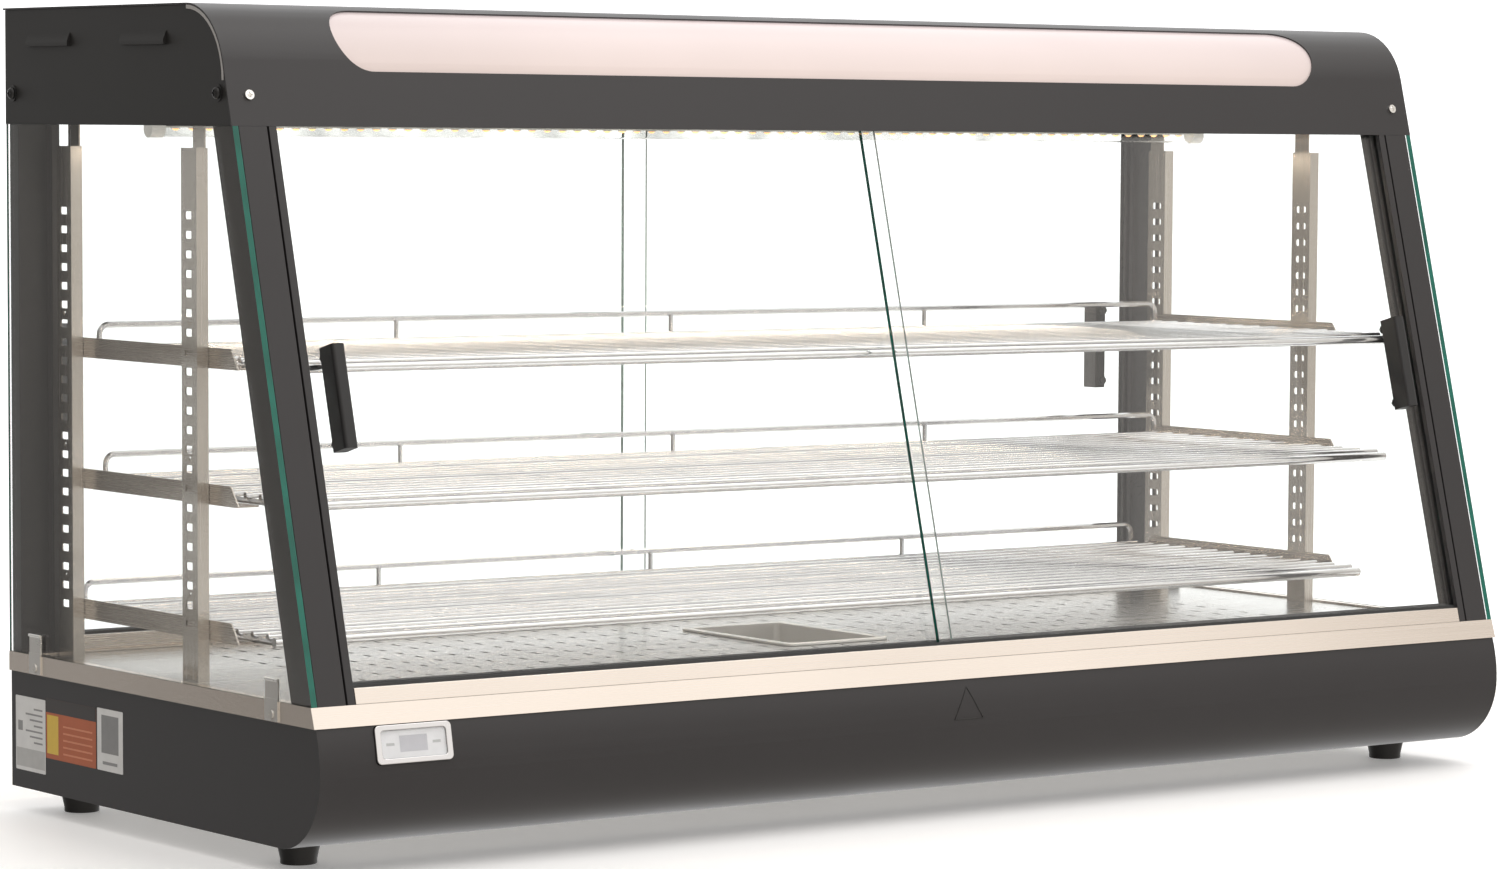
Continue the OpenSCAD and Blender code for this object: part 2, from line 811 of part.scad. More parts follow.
// Lamp end caps, the light strip inside the tube and the blocks that hang it from the ceiling
module lamp_fittings() {
  color([0.9, 0.9, 0.88]) {
    for (s = [-1, 1]) {
      bar_x(s > 0 ? lamp_l / 2 : -lamp_l / 2 - 12, s > 0 ? lamp_l / 2 + 12 : -lamp_l / 2,
        lamp_y, lamp_z, lamp_d + 1.5);
      span([s * (lamp_l / 2 + 6) - 4, lamp_y - 5, lamp_z + lamp_d / 2 - 1],
        [s * (lamp_l / 2 + 6) + 4, lamp_y + 5, ceiling_z]);
    }
    span([-lamp_l / 2, lamp_y - 4, lamp_z + 1], [lamp_l / 2, lamp_y + 4, lamp_z + 2]);
  }
}

// Light bar behind the canopy window
module sign_light() {
  y = roof_c_y + 10;
  color([0.92, 0.92, 0.9]) union() {
    span([-window_l / 2, y, ceiling_z + 1.2], [window_l / 2, y + 16, ceiling_z + 4]);
    span([-window_l / 2, y + 12, ceiling_z + 4], [window_l / 2, y + 16, ceiling_z + 26]);
  }
}

// ---- Shelving ----

// Right-hand upright: a channel open to the rear, with slots and level marks through both of its
// walls and a neck on the inner wall
module upright(y) {
  top = canopy_z - neck_h;
  first = top_z + first_shelf + hook_z;
  y0 = y - upright_d / 2;
  difference() {
    union() {
      for (x = [0, upright_f - upright_t])
        span([x, y0, deck_top], [x + upright_t, y0 + upright_d, top]);
      span([0, y0, deck_top], [upright_f, y0 + upright_t, top]);
      span([0, y - neck_w / 2, deck_top], [upright_t, y + neck_w / 2, ceiling_z]);
    }
    for (i = [0:slot_count - 1]) translate([-cut, y, first + i * step])
      rotate([90, 0, 90]) linear_extrude(2 * cut + upright_f)
        soft_square(hook_slot_w, hook_slot_h, 1.5);
    for (i = [0:2]) translate([-cut, y, first + (i * shelf_steps + 1.5) * step])
      rotate([90, 0, 90]) linear_extrude(2 * cut + upright_f)
        polygon([[-2, 2], [2, 2], [0, -2]]);
  }
}

module shelf_posts() {
  color(stainless) for (y = [front_upright, rear_upright]) {
    translate([upright_x, 0, 0]) upright(y);
    translate([upright_f - upright_x, 0, 0]) mirror([1, 0, 0]) upright(y);
  }
}

// Bracket: a bar along Y with a ledge towards the shelf and hooks into the slots
module bracket(z) {
  y1 = rear_upright + 2;
  y0 = y1 - bracket_l;
  bevel = 12;
  reach = fit + upright_t + 1;
  union() {
    side_view(0, upright_t) polygon([
      [y0, z], [y0 + bevel, z + bracket_h], [y1, z + bracket_h], [y1, z]]);
    span([0, y0 + 4, z], [ledge_w, y1, z + ledge_t]);
    for (y = [front_upright, rear_upright])
      span([-reach, y - 4, z + hook_z - 2.5], [upright_t, y + 4, z + hook_z + 2.5]);
  }
}

module shelf_brackets() {
  color(stainless) for (z = shelf_z) {
    translate([upright_f - upright_x + fit, 0, 0]) bracket(z);
    translate([upright_x - fit, 0, 0]) mirror([1, 0, 0]) bracket(z);
  }
}

// Wire shelf: cross rods, wires on top of them, a thick front rod and a raised back rail
module wire_shelf(i) {
  x0 = shelf_x[i] - shelf_l / 2;
  x1 = shelf_x[i] + shelf_l / 2;
  y0 = shelf_front[i];
  y1 = y0 + shelf_d;
  rod_z = shelf_z[i] + ledge_t + wire_d / 2 + 0.1;
  z = shelf_z[i] + wire_z;
  top = z + rail_rise;
  bend = 8;
  wires = floor((shelf_d - 12) / wire_pitch);
  color(chrome) union() {
    bar_x(x0, x1, y0, rod_z + 0.4, front_rod_d);
    for (k = [0:wires]) bar_x(x0, x1, y0 + 10 + k * wire_pitch, z, wire_d);
    for (x = [x0 + 3, x0 + shelf_l / 3, x1 - shelf_l / 3, x1 - 3])
      bar_y(x, y0, y1 + 1, rod_z, wire_d);
    bar_x(x0 + 5 + bend, x1 - 5 - bend, y1, top, wire_d);
    for (x = [x0 + shelf_l / 4, x0 + shelf_l / 2, x1 - shelf_l / 4])
      translate([x, y1, rod_z]) cylinder(d = wire_d - 0.4, h = top - rod_z);
    for (s = [-1, 1]) translate([shelf_x[i] + s * (shelf_l / 2 - 5 - bend), y1, top - bend])
      mirror([s < 0 ? 1 : 0, 0, 0]) {
        rotate([90, 0, 0]) rotate_extrude(angle = 90) translate([bend, 0]) circle(d = wire_d);
        translate([bend, 0, rod_z - top + bend]) cylinder(d = wire_d, h = top - bend - rod_z);
      }
    bar_x(x0, x1, y1, rod_z, wire_d);
  }
}

module top_shelf() {
  wire_shelf(2);
}

module middle_shelf() {
  wire_shelf(1);
}

module bottom_shelf() {
  wire_shelf(0);
}

// ---- Sliding doors ----

// X from one edge of a shut pane to the other, on side s
function pane_from(s) = s < 0 ? -pane_x : -pane_lap / 2;
function pane_to(s) = s < 0 ? pane_lap / 2 : pane_x;

// Two holes through a pane, in a handle's own frame
module pane_holes() {
  for (t = [-1, 1]) translate([0, -cut, t * bolt_pitch / 2]) rotate([-90, 0, 0])
    cylinder(d = bolt_d + 0.4, h = pane_t + 2 * cut);
}

// Front pane on side s, in a lane that starts d behind the front plane
module front_pane(s, d) {
  color(glass) difference() {
    side_view(pane_from(s), pane_to(s))
      layer(pane_foot, pane_head, d + pane_gap, d + pane_gap + pane_t);
    on_front_pane(s, d) pane_holes();
  }
}

module front_pane_left() {
  front_pane(-1, lane_b);
}

module front_pane_right() {
  front_pane(1, lane_a);
}

// Rear pane on side s, in a lane that starts d in front of the rear plane
module rear_pane(s, d) {
  y1 = rear_y - d - pane_gap;
  color(glass) difference() {
    span([pane_from(s), y1 - pane_t, pane_foot], [pane_to(s), y1, pane_head]);
    on_rear_pane(s, d) pane_holes();
  }
}

module rear_pane_left() {
  rear_pane(-1, lane_b);
}

module rear_pane_right() {
  rear_pane(1, lane_a);
}

handle_z = top_z + grip_z;
handle_x = pane_x - grip_edge;
rear_handle_x = [-pane_x + rear_left_edge, handle_x];
bolt_pitch = grip_l - 14;
bolt_d = 4;

// Handle: a deep bar with rounded corners whose back is at Y = 0 and front faces -Y
module grip() {
  r = 3;
  color(black) difference() {
    translate([0, 0, -grip_l / 2]) linear_extrude(grip_l) union() {
      translate([0, -grip_d / 2]) soft_square(grip_w, grip_d, r);
      translate([-grip_w / 2, -grip_d / 2]) square([grip_w, grip_d / 2]);
    }
    for (s = [-1, 1]) translate([0, cut, s * bolt_pitch / 2]) rotate([90, 0, 0])
      cylinder(d = bolt_d + 0.2, h = 12 + cut);
  }
}

// Two hexagon-headed bolts that clamp a handle through a pane of thickness pane_t
module grip_bolts() {
  color(black) for (s = [-1, 1]) translate([0, 0, s * bolt_pitch / 2]) {
    translate([0, pane_t, 0]) rotate([-90, 0, 0]) cylinder(d = 9, h = 0.8);
    translate([0, pane_t + 0.7, 0]) rotate([-90, 0, 0]) cylinder(d = 7, h = 2.6, $fn = 6);
    translate([0, -11, 0]) rotate([-90, 0, 0]) cylinder(d = bolt_d, h = 11 + pane_t);
  }
}

// Places a handle's own frame on the outer face of a front pane
module on_front_pane(s, d) {
  on_front(s * handle_x, handle_z)
    translate([0, (d + pane_gap) * cos(lean), 0]) children();
}

// Places a handle's own frame on the outer face of a rear pane
module on_rear_pane(s, d) {
  translate([rear_handle_x[s < 0 ? 0 : 1], rear_y - d - pane_gap, handle_z])
    mirror([0, 1, 0]) children();
}

module front_handle_left() {
  on_front_pane(-1, lane_b) grip();
}

module front_handle_right() {
  on_front_pane(1, lane_a) grip();
}

module rear_handle_left() {
  on_rear_pane(-1, lane_b) grip();
}

module rear_handle_right() {
  on_rear_pane(1, lane_a) grip();
}

module front_bolts_left() {
  on_front_pane(-1, lane_b) grip_bolts();
}

module front_bolts_right() {
  on_front_pane(1, lane_a) grip_bolts();
}

module rear_bolts_left() {
  on_rear_pane(-1, lane_b) grip_bolts();
}

module rear_bolts_right() {
  on_rear_pane(1, lane_a) grip_bolts();
}

// ---- Screws ----

end_screw_y = [plane(canopy_z) + 22, rear_y - 11];
end_screw_z = roof_z - 68;
face_screw_x = half_w - 18;
face_screw_z = canopy_z + 23;

// Bright cross-head screws in the canopy front, the glass clips and the feet
module steel_screws() {
  color(chrome) {
    for (s = [-1, 1]) on_front(s * face_screw_x, face_screw_z) rotate([90, 0, 0])
      pan_screw(7.5, 2, 4, 5);
    for (s = [-1, 1], y = clip_y) translate([s * (half_w + clip_t), y, clip_screw_z])
      rotate([0, s * 90, 0]) pan_screw(7, 0.8, 4, 6);
    for (p = foot_places()) translate([p[0], p[1], 7]) rotate([180, 0, 0])
      pan_screw(12, 2.5, 5, foot_h + 2);
  }
}

// Washer-headed black screws in the canopy ends
module black_screws() {
  color(black) for (s = [-1, 1], y = end_screw_y)
    translate([s * (half_w - 1), y, end_screw_z]) rotate([0, s * 90, 0]) union() {
      cylinder(d = 13, h = 0.8);
      translate([0, 0, 0.6]) pan_screw(8, 2, 4, 8);
    }
}

// ---- Display and controls ----

// Places the display's own frame on the curved front, facing -Y
module on_display() {
  translate([show_x, show_y, show_z]) rotate([-show_tilt, 0, 0]) rotate([90, 0, 0]) children();
}

// Chrome frame, set through the panel, with a recess for the lens
module display_bezel() {
  color(chrome) on_display() difference() {
    translate([0, 0, -8]) linear_extrude(8 + show_out) soft_square(show_w, show_h, 4);
    translate([0, 0, -0.5]) linear_extrude(show_out + cut)
      soft_square(show_w - 10, show_h - 8, 2.5);
  }
}

module display_lens() {
  color([0.9, 0.95, 0.95, 0.5]) on_display() translate([0, 0, -0.5])
    linear_extrude(1.4) soft_square(show_w - 10.4, show_h - 8.4, 2.3);
}

module temp_knob() {
  color(black) translate([knob_x, rear_y + 1, control_z]) rotate([-90, 0, 0]) difference() {
    union() {
      cylinder(d = knob_d, h = 3);
      cylinder(d = knob_d - 8, h = knob_proud - 2);
      translate([-3, -knob_d / 2 + 4, 0]) cube([6, knob_d - 8, knob_proud - 1]);
    }
    translate([0, 0, -cut]) cylinder(d = shaft_d + 0.1, h = 6 + cut);
  }
}

// Thermostat body behind the panel, with the shaft that carries the knob
module thermostat() {
  color([0.8, 0.78, 0.72]) translate([knob_x, rear_y, control_z]) union() {
    translate([-20, -sheet_t - 28, -18]) cube([40, 28, 36]);
    translate([0, -sheet_t - 1, 0]) rotate([-90, 0, 0]) cylinder(d = shaft_d, h = sheet_t + 7);
  }
}

// Two rocker housings with their pivot pins
module switch_frames() {
  color(black) for (x = rocker_x) translate([x, rear_y, control_z]) {
    difference() {
      union() {
        translate([-rocker_l / 2 - 4, 0, -rocker_w / 2 - 4]) cube([rocker_l + 8, 2, rocker_w + 8]);
        translate([-rocker_l / 2 - 1.8, -20, -rocker_w / 2 - 1.8])
          cube([rocker_l + 3.6, 20.5, rocker_w + 3.6]);
      }
      translate([-rocker_l / 2 - 0.8, -12, -rocker_w / 2 - 0.5])
        cube([rocker_l + 1.6, 16, rocker_w + 1]);
    }
    translate([0, -3, -rocker_w / 2 - 1]) cylinder(d = 2.4, h = rocker_w + 2);
  }
}

// Rocker: a wide V in plan that tips about its upright pin
module rocker(x) {
  tip = 6;
  color([0.6, 0.08, 0.06]) translate([x, rear_y, control_z]) difference() {
    translate([0, -3, 0]) rotate(tip) translate([0, 0, -rocker_w / 2]) linear_extrude(rocker_w)
      polygon([[-rocker_l / 2, 2], [-rocker_l / 2, 4.6], [0, 3.6], [rocker_l / 2, 4.6],
        [rocker_l / 2, 2], [3, -3], [-3, -3]]);
    translate([0, -3, -rocker_w]) cylinder(d = 2.5, h = 2 * rocker_w);
  }
}

module power_rocker() {
  rocker(rocker_x[0]);
}

module light_rocker() {
  rocker(rocker_x[1]);
}

inlet_w = 48;
inlet_h = 28;

// Recessed mains inlet with three flat contacts
module power_inlet() {
  color(black) translate([inlet_x, rear_y, control_z]) {
    difference() {
      union() {
        translate([0, 2.5, 0]) rotate([90, 0, 0]) linear_extrude(2.5)
          soft_square(inlet_w + 8, inlet_h + 4, 3);
        translate([-inlet_w / 2 + 0.5, -24, -inlet_h / 2 + 0.5])
          cube([inlet_w - 1, 25, inlet_h - 1]);
      }
      translate([-12.5, -17, -8]) cube([25, 22, 16]);
    }
    for (p = [[-7, -2], [0, 2], [7, -2]])
      translate([p[0] - 1, -18, p[1] - 2.5]) cube([2, 14, 5]);
  }
}

base_pan();
base_front_panel();
base_side_left();
base_side_right();
base_rear_panel();
worktop_rail();
deck_plate();
water_tray();
heater_elements();
fan_frame();
fan_rotor();
feet();
front_sill();
rear_sill();
sill_gaskets();
front_top_track();
rear_top_track();
front_posts();
door_jambs();
rear_posts();
side_glass_left();
side_glass_right();
glass_clips();
steel_screws();
black_screws();
canopy_cover();
canopy_window();
canopy_end_left();
canopy_end_right();
canopy_trims();
canopy_ceiling();
canopy_rear_panel();
lamp_tube();
lamp_fittings();
sign_light();
shelf_posts();
shelf_brackets();
top_shelf();
middle_shelf();
bottom_shelf();
front_pane_left();
front_pane_right();
rear_pane_left();
rear_pane_right();
front_handle_left();
front_handle_right();
rear_handle_left();
rear_handle_right();
front_bolts_left();
front_bolts_right();
rear_bolts_left();
rear_bolts_right();
display_bezel();
display_lens();
temp_knob();
thermostat();
switch_frames();
power_rocker();
light_rocker();
power_inlet();
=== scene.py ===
"""Finishes and fine detail for a heated countertop display case.

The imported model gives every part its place. This script dresses the parts, eases their edges,
and remakes the pieces whose detail the plain model leaves out: wire shelves, lamp diodes, screw
heads, labels and the display face.
"""

import logging
import math
from dataclasses import dataclass, field
from enum import Enum

import bmesh
import bpy
from mathutils import Matrix, Vector


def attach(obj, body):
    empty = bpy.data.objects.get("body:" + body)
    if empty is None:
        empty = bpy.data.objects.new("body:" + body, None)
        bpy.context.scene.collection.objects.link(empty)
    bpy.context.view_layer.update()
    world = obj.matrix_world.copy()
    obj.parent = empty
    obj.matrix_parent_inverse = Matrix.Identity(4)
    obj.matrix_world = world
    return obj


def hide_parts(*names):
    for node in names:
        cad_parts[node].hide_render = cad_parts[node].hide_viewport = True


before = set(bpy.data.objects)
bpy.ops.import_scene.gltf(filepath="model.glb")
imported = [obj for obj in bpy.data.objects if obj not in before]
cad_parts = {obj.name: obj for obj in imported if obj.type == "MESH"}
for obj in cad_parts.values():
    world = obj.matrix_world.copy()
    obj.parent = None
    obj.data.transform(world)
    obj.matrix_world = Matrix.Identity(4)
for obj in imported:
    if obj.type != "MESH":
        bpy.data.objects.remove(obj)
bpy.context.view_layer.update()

log = logging.getLogger("display_case")

Colour = tuple[float, float, float]
Point = tuple[float, float, float]
MM = 0.001
STREAKS_ACROSS = 1900.0
STREAKS_ALONG = 5.0


class Axis(Enum):
    """The direction that a grain or a brushing runs in."""

    X = 0
    Y = 1
    Z = 2


# ---------------------------------------------------------------- node building


class Graph:
    """Builds shader and geometry node trees with short calls."""

    def __init__(self, tree: bpy.types.NodeTree) -> None:
        """Starts a graph on an empty tree.

        Args:
            tree: The node tree that nodes are added to.
        """
        self.tree = tree

    def node(self, kind: str, inputs: dict | None = None, **settings: object) -> bpy.types.Node:
        """Adds a node and sets its inputs and settings.

        Args:
            kind: The node's type name.
            inputs: Values or sockets for inputs, by name or by place.
            **settings: Properties of the node itself.

        Returns:
            The new node.
        """
        made = self.tree.nodes.new(kind)
        for name, value in settings.items():
            setattr(made, name, value)
        for key, value in (inputs or {}).items():
            self.feed(made.inputs[key], value)
        return made

    def feed(self, socket: bpy.types.NodeSocket, value: object) -> None:
        """Links a socket or sets a plain value on an input.

        Args:
            socket: The input to fill.
            value: An output socket, or a number, vector or colour.
        """
        if isinstance(value, bpy.types.NodeSocket):
            self.tree.links.new(value, socket)
        else:
            socket.default_value = value

    def maths(self, operation: str, a: object, b: object = 0.0) -> bpy.types.NodeSocket:
        """Combines two numbers.

        Args:
            operation: The Math node's operation.
            a: The first number or socket.
            b: The second number or socket.

        Returns:
            The result's socket.
        """
        return self.node("ShaderNodeMath", {0: a, 1: b}, operation=operation).outputs[0]

    def span(self, value: object, low: float, high: float, out_low: float,
             out_high: float) -> bpy.types.NodeSocket:
        """Maps a number from one range to another and clamps it.

        Args:
            value: The number's socket.
            low: Start of the incoming range.
            high: End of the incoming range.
            out_low: Result at low.
            out_high: Result at high.

        Returns:
            The mapped number's socket.
        """
        spread = {0: value, 1: low, 2: high, 3: out_low, 4: out_high}
        return self.node("ShaderNodeMapRange", spread).outputs[0]

    def blend(self, factor: object, a: object, b: object, mode: str = "MIX") -> bpy.types.NodeSocket:
        """Mixes two colours.

        Args:
            factor: How much of the second colour shows.
            a: The first colour or socket.
            b: The second colour or socket.
            mode: The blend type.

        Returns:
            The mixed colour's socket.
        """
        mix = self.node("ShaderNodeMix", data_type="RGBA", blend_type=mode)
        for socket, value in ((mix.inputs[0], factor), (mix.inputs[6], a), (mix.inputs[7], b)):
            self.feed(socket, value)
        return mix.outputs[2]

    def shaded(self, colour: object, level: bpy.types.NodeSocket) -> bpy.types.NodeSocket:
        """Scales a colour by a level that varies over the piece.

        Args:
            colour: The colour or its socket.
            level: The level's socket.

        Returns:
            The scaled colour's socket.
        """
        grey = self.node("ShaderNodeCombineColor", {0: level, 1: level, 2: level}).outputs[0]
        return self.blend(1.0, colour, grey, "MULTIPLY")


def rgba(colour: Colour) -> tuple[float, float, float, float]:
    """Gives a colour its full opacity."""
    return (*colour, 1.0)


def fresh_material(name: str) -> tuple[bpy.types.Material, Graph, bpy.types.NodeSocket]:
    """Makes an empty node material.

    Args:
        name: The material's name.

    Returns:
        The material, its graph, and the surface input of its output node.
    """
    material = bpy.data.materials.new(name)
    material.use_nodes = True
    material.node_tree.nodes.clear()
    graph = Graph(material.node_tree)
    return material, graph, graph.node("ShaderNodeOutputMaterial").inputs["Surface"]


def object_place(graph: Graph, scale: Point = (1.0, 1.0, 1.0)) -> bpy.types.NodeSocket:
    """Gives the place on the object, stretched for a grain.

    Args:
        graph: The graph to build in.
        scale: Stretch along each axis.

    Returns:
        The vector's socket.
    """
    place = graph.node("ShaderNodeTexCoord").outputs["Object"]
    return graph.node("ShaderNodeMapping", {"Vector": place, "Scale": scale}).outputs[0]


def noise(graph: Graph, place: bpy.types.NodeSocket, scale: float,
          detail: float = 2.0) -> bpy.types.NodeSocket:
    """Adds a noise texture.

    Args:
        graph: The graph to build in.
        place: Where it is read.
        scale: Features per metre.
        detail: Octaves.

    Returns:
        The noise value's socket.
    """
    return graph.node("ShaderNodeTexNoise", {"Vector": place, "Scale": scale, "Detail": detail}).outputs[0]


def relief(graph: Graph, height: bpy.types.NodeSocket, strength: float,
           depth: float) -> bpy.types.NodeSocket:
    """Turns a height into a bumped normal.

    Args:
        graph: The graph to build in.
        height: The height's socket.
        strength: Strength of the bump.
        depth: Depth of the relief in metres.

    Returns:
        The normal's socket.
    """
    bump = graph.node("ShaderNodeBump", {"Height": height, "Strength": strength, "Distance": depth})
    return bump.outputs[0]


# ---------------------------------------------------------------- finishes


@dataclass(frozen=True)
class Finish:
    """What every finish shares: a name, and a material made once."""

    name: str
    slot: str

    def material(self) -> bpy.types.Material:
        """Gives the finish's material, made on first use."""
        return bpy.data.materials.get(self.name) or self.make()

    def make(self) -> bpy.types.Material:
        """Builds the material."""
        raise NotImplementedError


@dataclass(frozen=True)
class PowderCoat(Finish):
    """Satin powder coat on sheet steel, with a fine skin and a slow drift of tone."""

    colour: Colour
    roughness: float = 0.42
    peel: float = 0.10
    drift: float = 0.07

    def make(self) -> bpy.types.Material:
        """Builds the coat from a fine bump and two slow noises."""
        material, graph, surface = fresh_material(self.name)
        place = object_place(graph)
        slow = noise(graph, place, 5.0, 3.0)
        skin = noise(graph, place, 1400.0, 1.0)
        tone = graph.span(slow, 0.3, 0.7, 1 - self.drift, 1 + self.drift)
        rough = graph.span(slow, 0.3, 0.7, self.roughness - 0.03, self.roughness + 0.04)
        shader = graph.node("ShaderNodeBsdfPrincipled", {
            "Base Color": graph.shaded(rgba(self.colour), tone),
            "Roughness": rough, "Specular IOR Level": 0.5,
            "Normal": relief(graph, skin, self.peel, 0.0003)})
        graph.feed(surface, shader.outputs[0])
        return material


@dataclass(frozen=True)
class BrushedSteel(Finish):
    """Stainless sheet brushed along one axis."""

    colour: Colour
    along: Axis = Axis.X
    roughness: float = 0.30
    streak: float = 0.06

    def make(self) -> bpy.types.Material:
        """Builds long streaks that shift tone, gloss and level."""
        material, graph, surface = fresh_material(self.name)
        stretch = [STREAKS_ACROSS] * 3
        stretch[self.along.value] = STREAKS_ALONG
        streaks = noise(graph, object_place(graph, tuple(stretch)), 1.0, 3.0)
        cloud = noise(graph, object_place(graph), 4.0, 2.0)
        level = graph.maths("ADD", graph.span(streaks, 0.3, 0.7, -self.streak, self.streak),
                            graph.span(cloud, 0.3, 0.7, 0.97, 1.03))
        rough = graph.span(streaks, 0.25, 0.75, self.roughness - 0.05, self.roughness + 0.07)
        shader = graph.node("ShaderNodeBsdfPrincipled", {
            "Base Color": graph.shaded(rgba(self.colour), level), "Metallic": 1.0, "Roughness": rough,
            "Normal": relief(graph, streaks, 0.03, 0.00005)})
        graph.feed(surface, shader.outputs[0])
        return material


@dataclass(frozen=True)
class Plating(Finish):
    """Bright plating on drawn wire or a cast frame, with faint clouding."""

    colour: Colour = (0.80, 0.80, 0.81)
    roughness: float = 0.12

    def make(self) -> bpy.types.Material:
        """Builds the plating with a little clouding in tone and gloss."""
        material, graph, surface = fresh_material(self.name)
        cloud = noise(graph, object_place(graph), 60.0, 3.0)
        tone = graph.span(cloud, 0.3, 0.7, 0.93, 1.0)
        shader = graph.node("ShaderNodeBsdfPrincipled", {
            "Base Color": graph.shaded(rgba(self.colour), tone), "Metallic": 1.0,
            "Roughness": graph.span(cloud, 0.3, 0.7, self.roughness - 0.03, self.roughness + 0.05)})
        graph.feed(surface, shader.outputs[0])
        return material


@dataclass(frozen=True)
class Moulding(Finish):
    """Moulded plastic or rubber with a fine grain."""

    colour: Colour
    roughness: float = 0.45
    grain: float = 0.15
    grain_scale: float = 900.0
    glow: float = 0.0

    def make(self) -> bpy.types.Material:
        """Builds the moulding with grain, slow tone drift and an optional glow."""
        material, graph, surface = fresh_material(self.name)
        place = object_place(graph)
        fine = noise(graph, place, self.grain_scale, 1.5)
        slow = noise(graph, place, 22.0, 2.0)
        colour = graph.shaded(rgba(self.colour), graph.span(slow, 0.3, 0.7, 0.92, 1.06))
        shader = graph.node("ShaderNodeBsdfPrincipled", {
            "Base Color": colour,
            "Roughness": graph.span(slow, 0.3, 0.7, self.roughness - 0.05, self.roughness + 0.06),
            "Normal": relief(graph, fine, self.grain, 0.0002)})
        if self.glow:
            graph.feed(shader.inputs["Emission Color"], colour)
            shader.inputs["Emission Strength"].default_value = self.glow
        graph.feed(surface, shader.outputs[0])
        return material


@dataclass(frozen=True)
class CutGlass(Finish):
    """Flat clear glass whose cut edges show its green body."""

    face: Point
    tint: Colour = (0.985, 0.996, 0.992)
    edge: Colour = (0.02, 0.30, 0.22)
    edge_clear: float = 0.35
    bend: float = 1.5

    def make(self) -> bpy.types.Material:
        """Builds clear faces and green edges, and lets lamp light through."""
        material, graph, surface = fresh_material(self.name)
        coordinates = graph.node("ShaderNodeTexCoord")
        dot = graph.node("ShaderNodeVectorMath",
                         {0: coordinates.outputs["Normal"], 1: self.face}, operation="DOT_PRODUCT")
        on_face = graph.maths("GREATER_THAN", graph.maths("ABSOLUTE", dot.outputs["Value"]), 0.7)
        ripple = noise(graph, object_place(graph, (30.0, 30.0, 30.0)), 1.0, 2.0)
        edge = graph.shaded(rgba(self.edge), graph.span(ripple, 0.3, 0.7, 0.75, 1.15))
        shader = graph.node("ShaderNodeBsdfPrincipled", {
            "Base Color": graph.blend(on_face, edge, rgba(self.tint)),
            "Transmission Weight": graph.span(on_face, 0.0, 1.0, self.edge_clear, 1.0),
            "Roughness": 0.0, "IOR": self.bend})
        clear = graph.node("ShaderNodeBsdfTransparent", {"Color": rgba(self.tint)})
        lamp_ray = graph.node("ShaderNodeLightPath").outputs["Is Shadow Ray"]
        both = graph.node("ShaderNodeMixShader", {0: lamp_ray, 1: shader.outputs[0], 2: clear.outputs[0]})
        graph.feed(surface, both.outputs[0])
        return material


@dataclass(frozen=True)
class LitSheet(Finish):
    """Translucent sheet lit from behind, warmer towards its lower edge and its ends."""

    low: Colour
    high: Colour
    strength: float
    z_low: float
    z_high: float
    half_length: float

    def make(self) -> bpy.types.Material:
        """Builds the lit sheet from two slow ramps and a faint cloud."""
        material, graph, surface = fresh_material(self.name)
        place = graph.node("ShaderNodeTexCoord").outputs["Object"]
        split = graph.node("ShaderNodeSeparateXYZ", {0: place})
        rise = graph.span(split.outputs[2], self.z_low, self.z_high, 0.0, 1.0)
        along = graph.span(graph.maths("ABSOLUTE", split.outputs[0]), self.half_length * 0.55,
                           self.half_length, 1.0, 0.93)
        cloud = graph.span(noise(graph, place, 9.0, 2.0), 0.3, 0.7, 0.985, 1.015)
        colour = graph.shaded(graph.blend(rise, rgba(self.low), rgba(self.high)),
                              graph.maths("MULTIPLY", along, cloud))
        shader = graph.node("ShaderNodeBsdfPrincipled", {
            "Base Color": colour, "Roughness": 0.28, "Emission Color": colour,
            "Emission Strength": self.strength})
        graph.feed(surface, shader.outputs[0])
        return material


@dataclass(frozen=True)
class Diode(Finish):
    """The lens of a lit diode."""

    colour: Colour
    strength: float

    def make(self) -> bpy.types.Material:
        """Builds the lit lens with a little unevenness from diode to diode."""
        material, graph, surface = fresh_material(self.name)
        cloud = noise(graph, object_place(graph), 70.0, 1.0)
        colour = graph.shaded(rgba(self.colour), graph.span(cloud, 0.3, 0.7, 0.85, 1.0))
        shader = graph.node("ShaderNodeBsdfPrincipled", {
            "Base Color": colour, "Roughness": 0.3, "Emission Color": colour,
            "Emission Strength": self.strength})
        graph.feed(surface, shader.outputs[0])
        return material


@dataclass(frozen=True)
class Patch:
    """A plain rectangle of colour on a sticker, in the sticker's own axis and height."""

    low: tuple[float, float]
    high: tuple[float, float]
    colour: Colour


@dataclass(frozen=True)
class Sticker(Finish):
    """Printed film with plain blocks of colour and no lettering."""

    ground: Colour
    across: Axis
    patches: tuple[Patch, ...]
    roughness: float = 0.35

    def make(self) -> bpy.types.Material:
        """Builds the film's ground and lays each block over it."""
        material, graph, surface = fresh_material(self.name)
        place = graph.node("ShaderNodeTexCoord").outputs["Object"]
        split = graph.node("ShaderNodeSeparateXYZ", {0: place})
        across, up = split.outputs[self.across.value], split.outputs[2]
        cloud = graph.span(noise(graph, place, 120.0, 2.0), 0.3, 0.7, 0.95, 1.02)
        colour: object = rgba(self.ground)
        for patch in self.patches:
            inside: object = 1.0
            for value, low, high in zip((across, up), patch.low, patch.high):
                inside = graph.maths("MULTIPLY", inside, graph.maths("GREATER_THAN", value, low))
                inside = graph.maths("MULTIPLY", inside, graph.maths("LESS_THAN", value, high))
            colour = graph.blend(inside, colour, rgba(patch.colour))
        shader = graph.node("ShaderNodeBsdfPrincipled", {
            "Base Color": graph.shaded(colour, cloud), "Roughness": self.roughness})
        graph.feed(surface, shader.outputs[0])
        return material


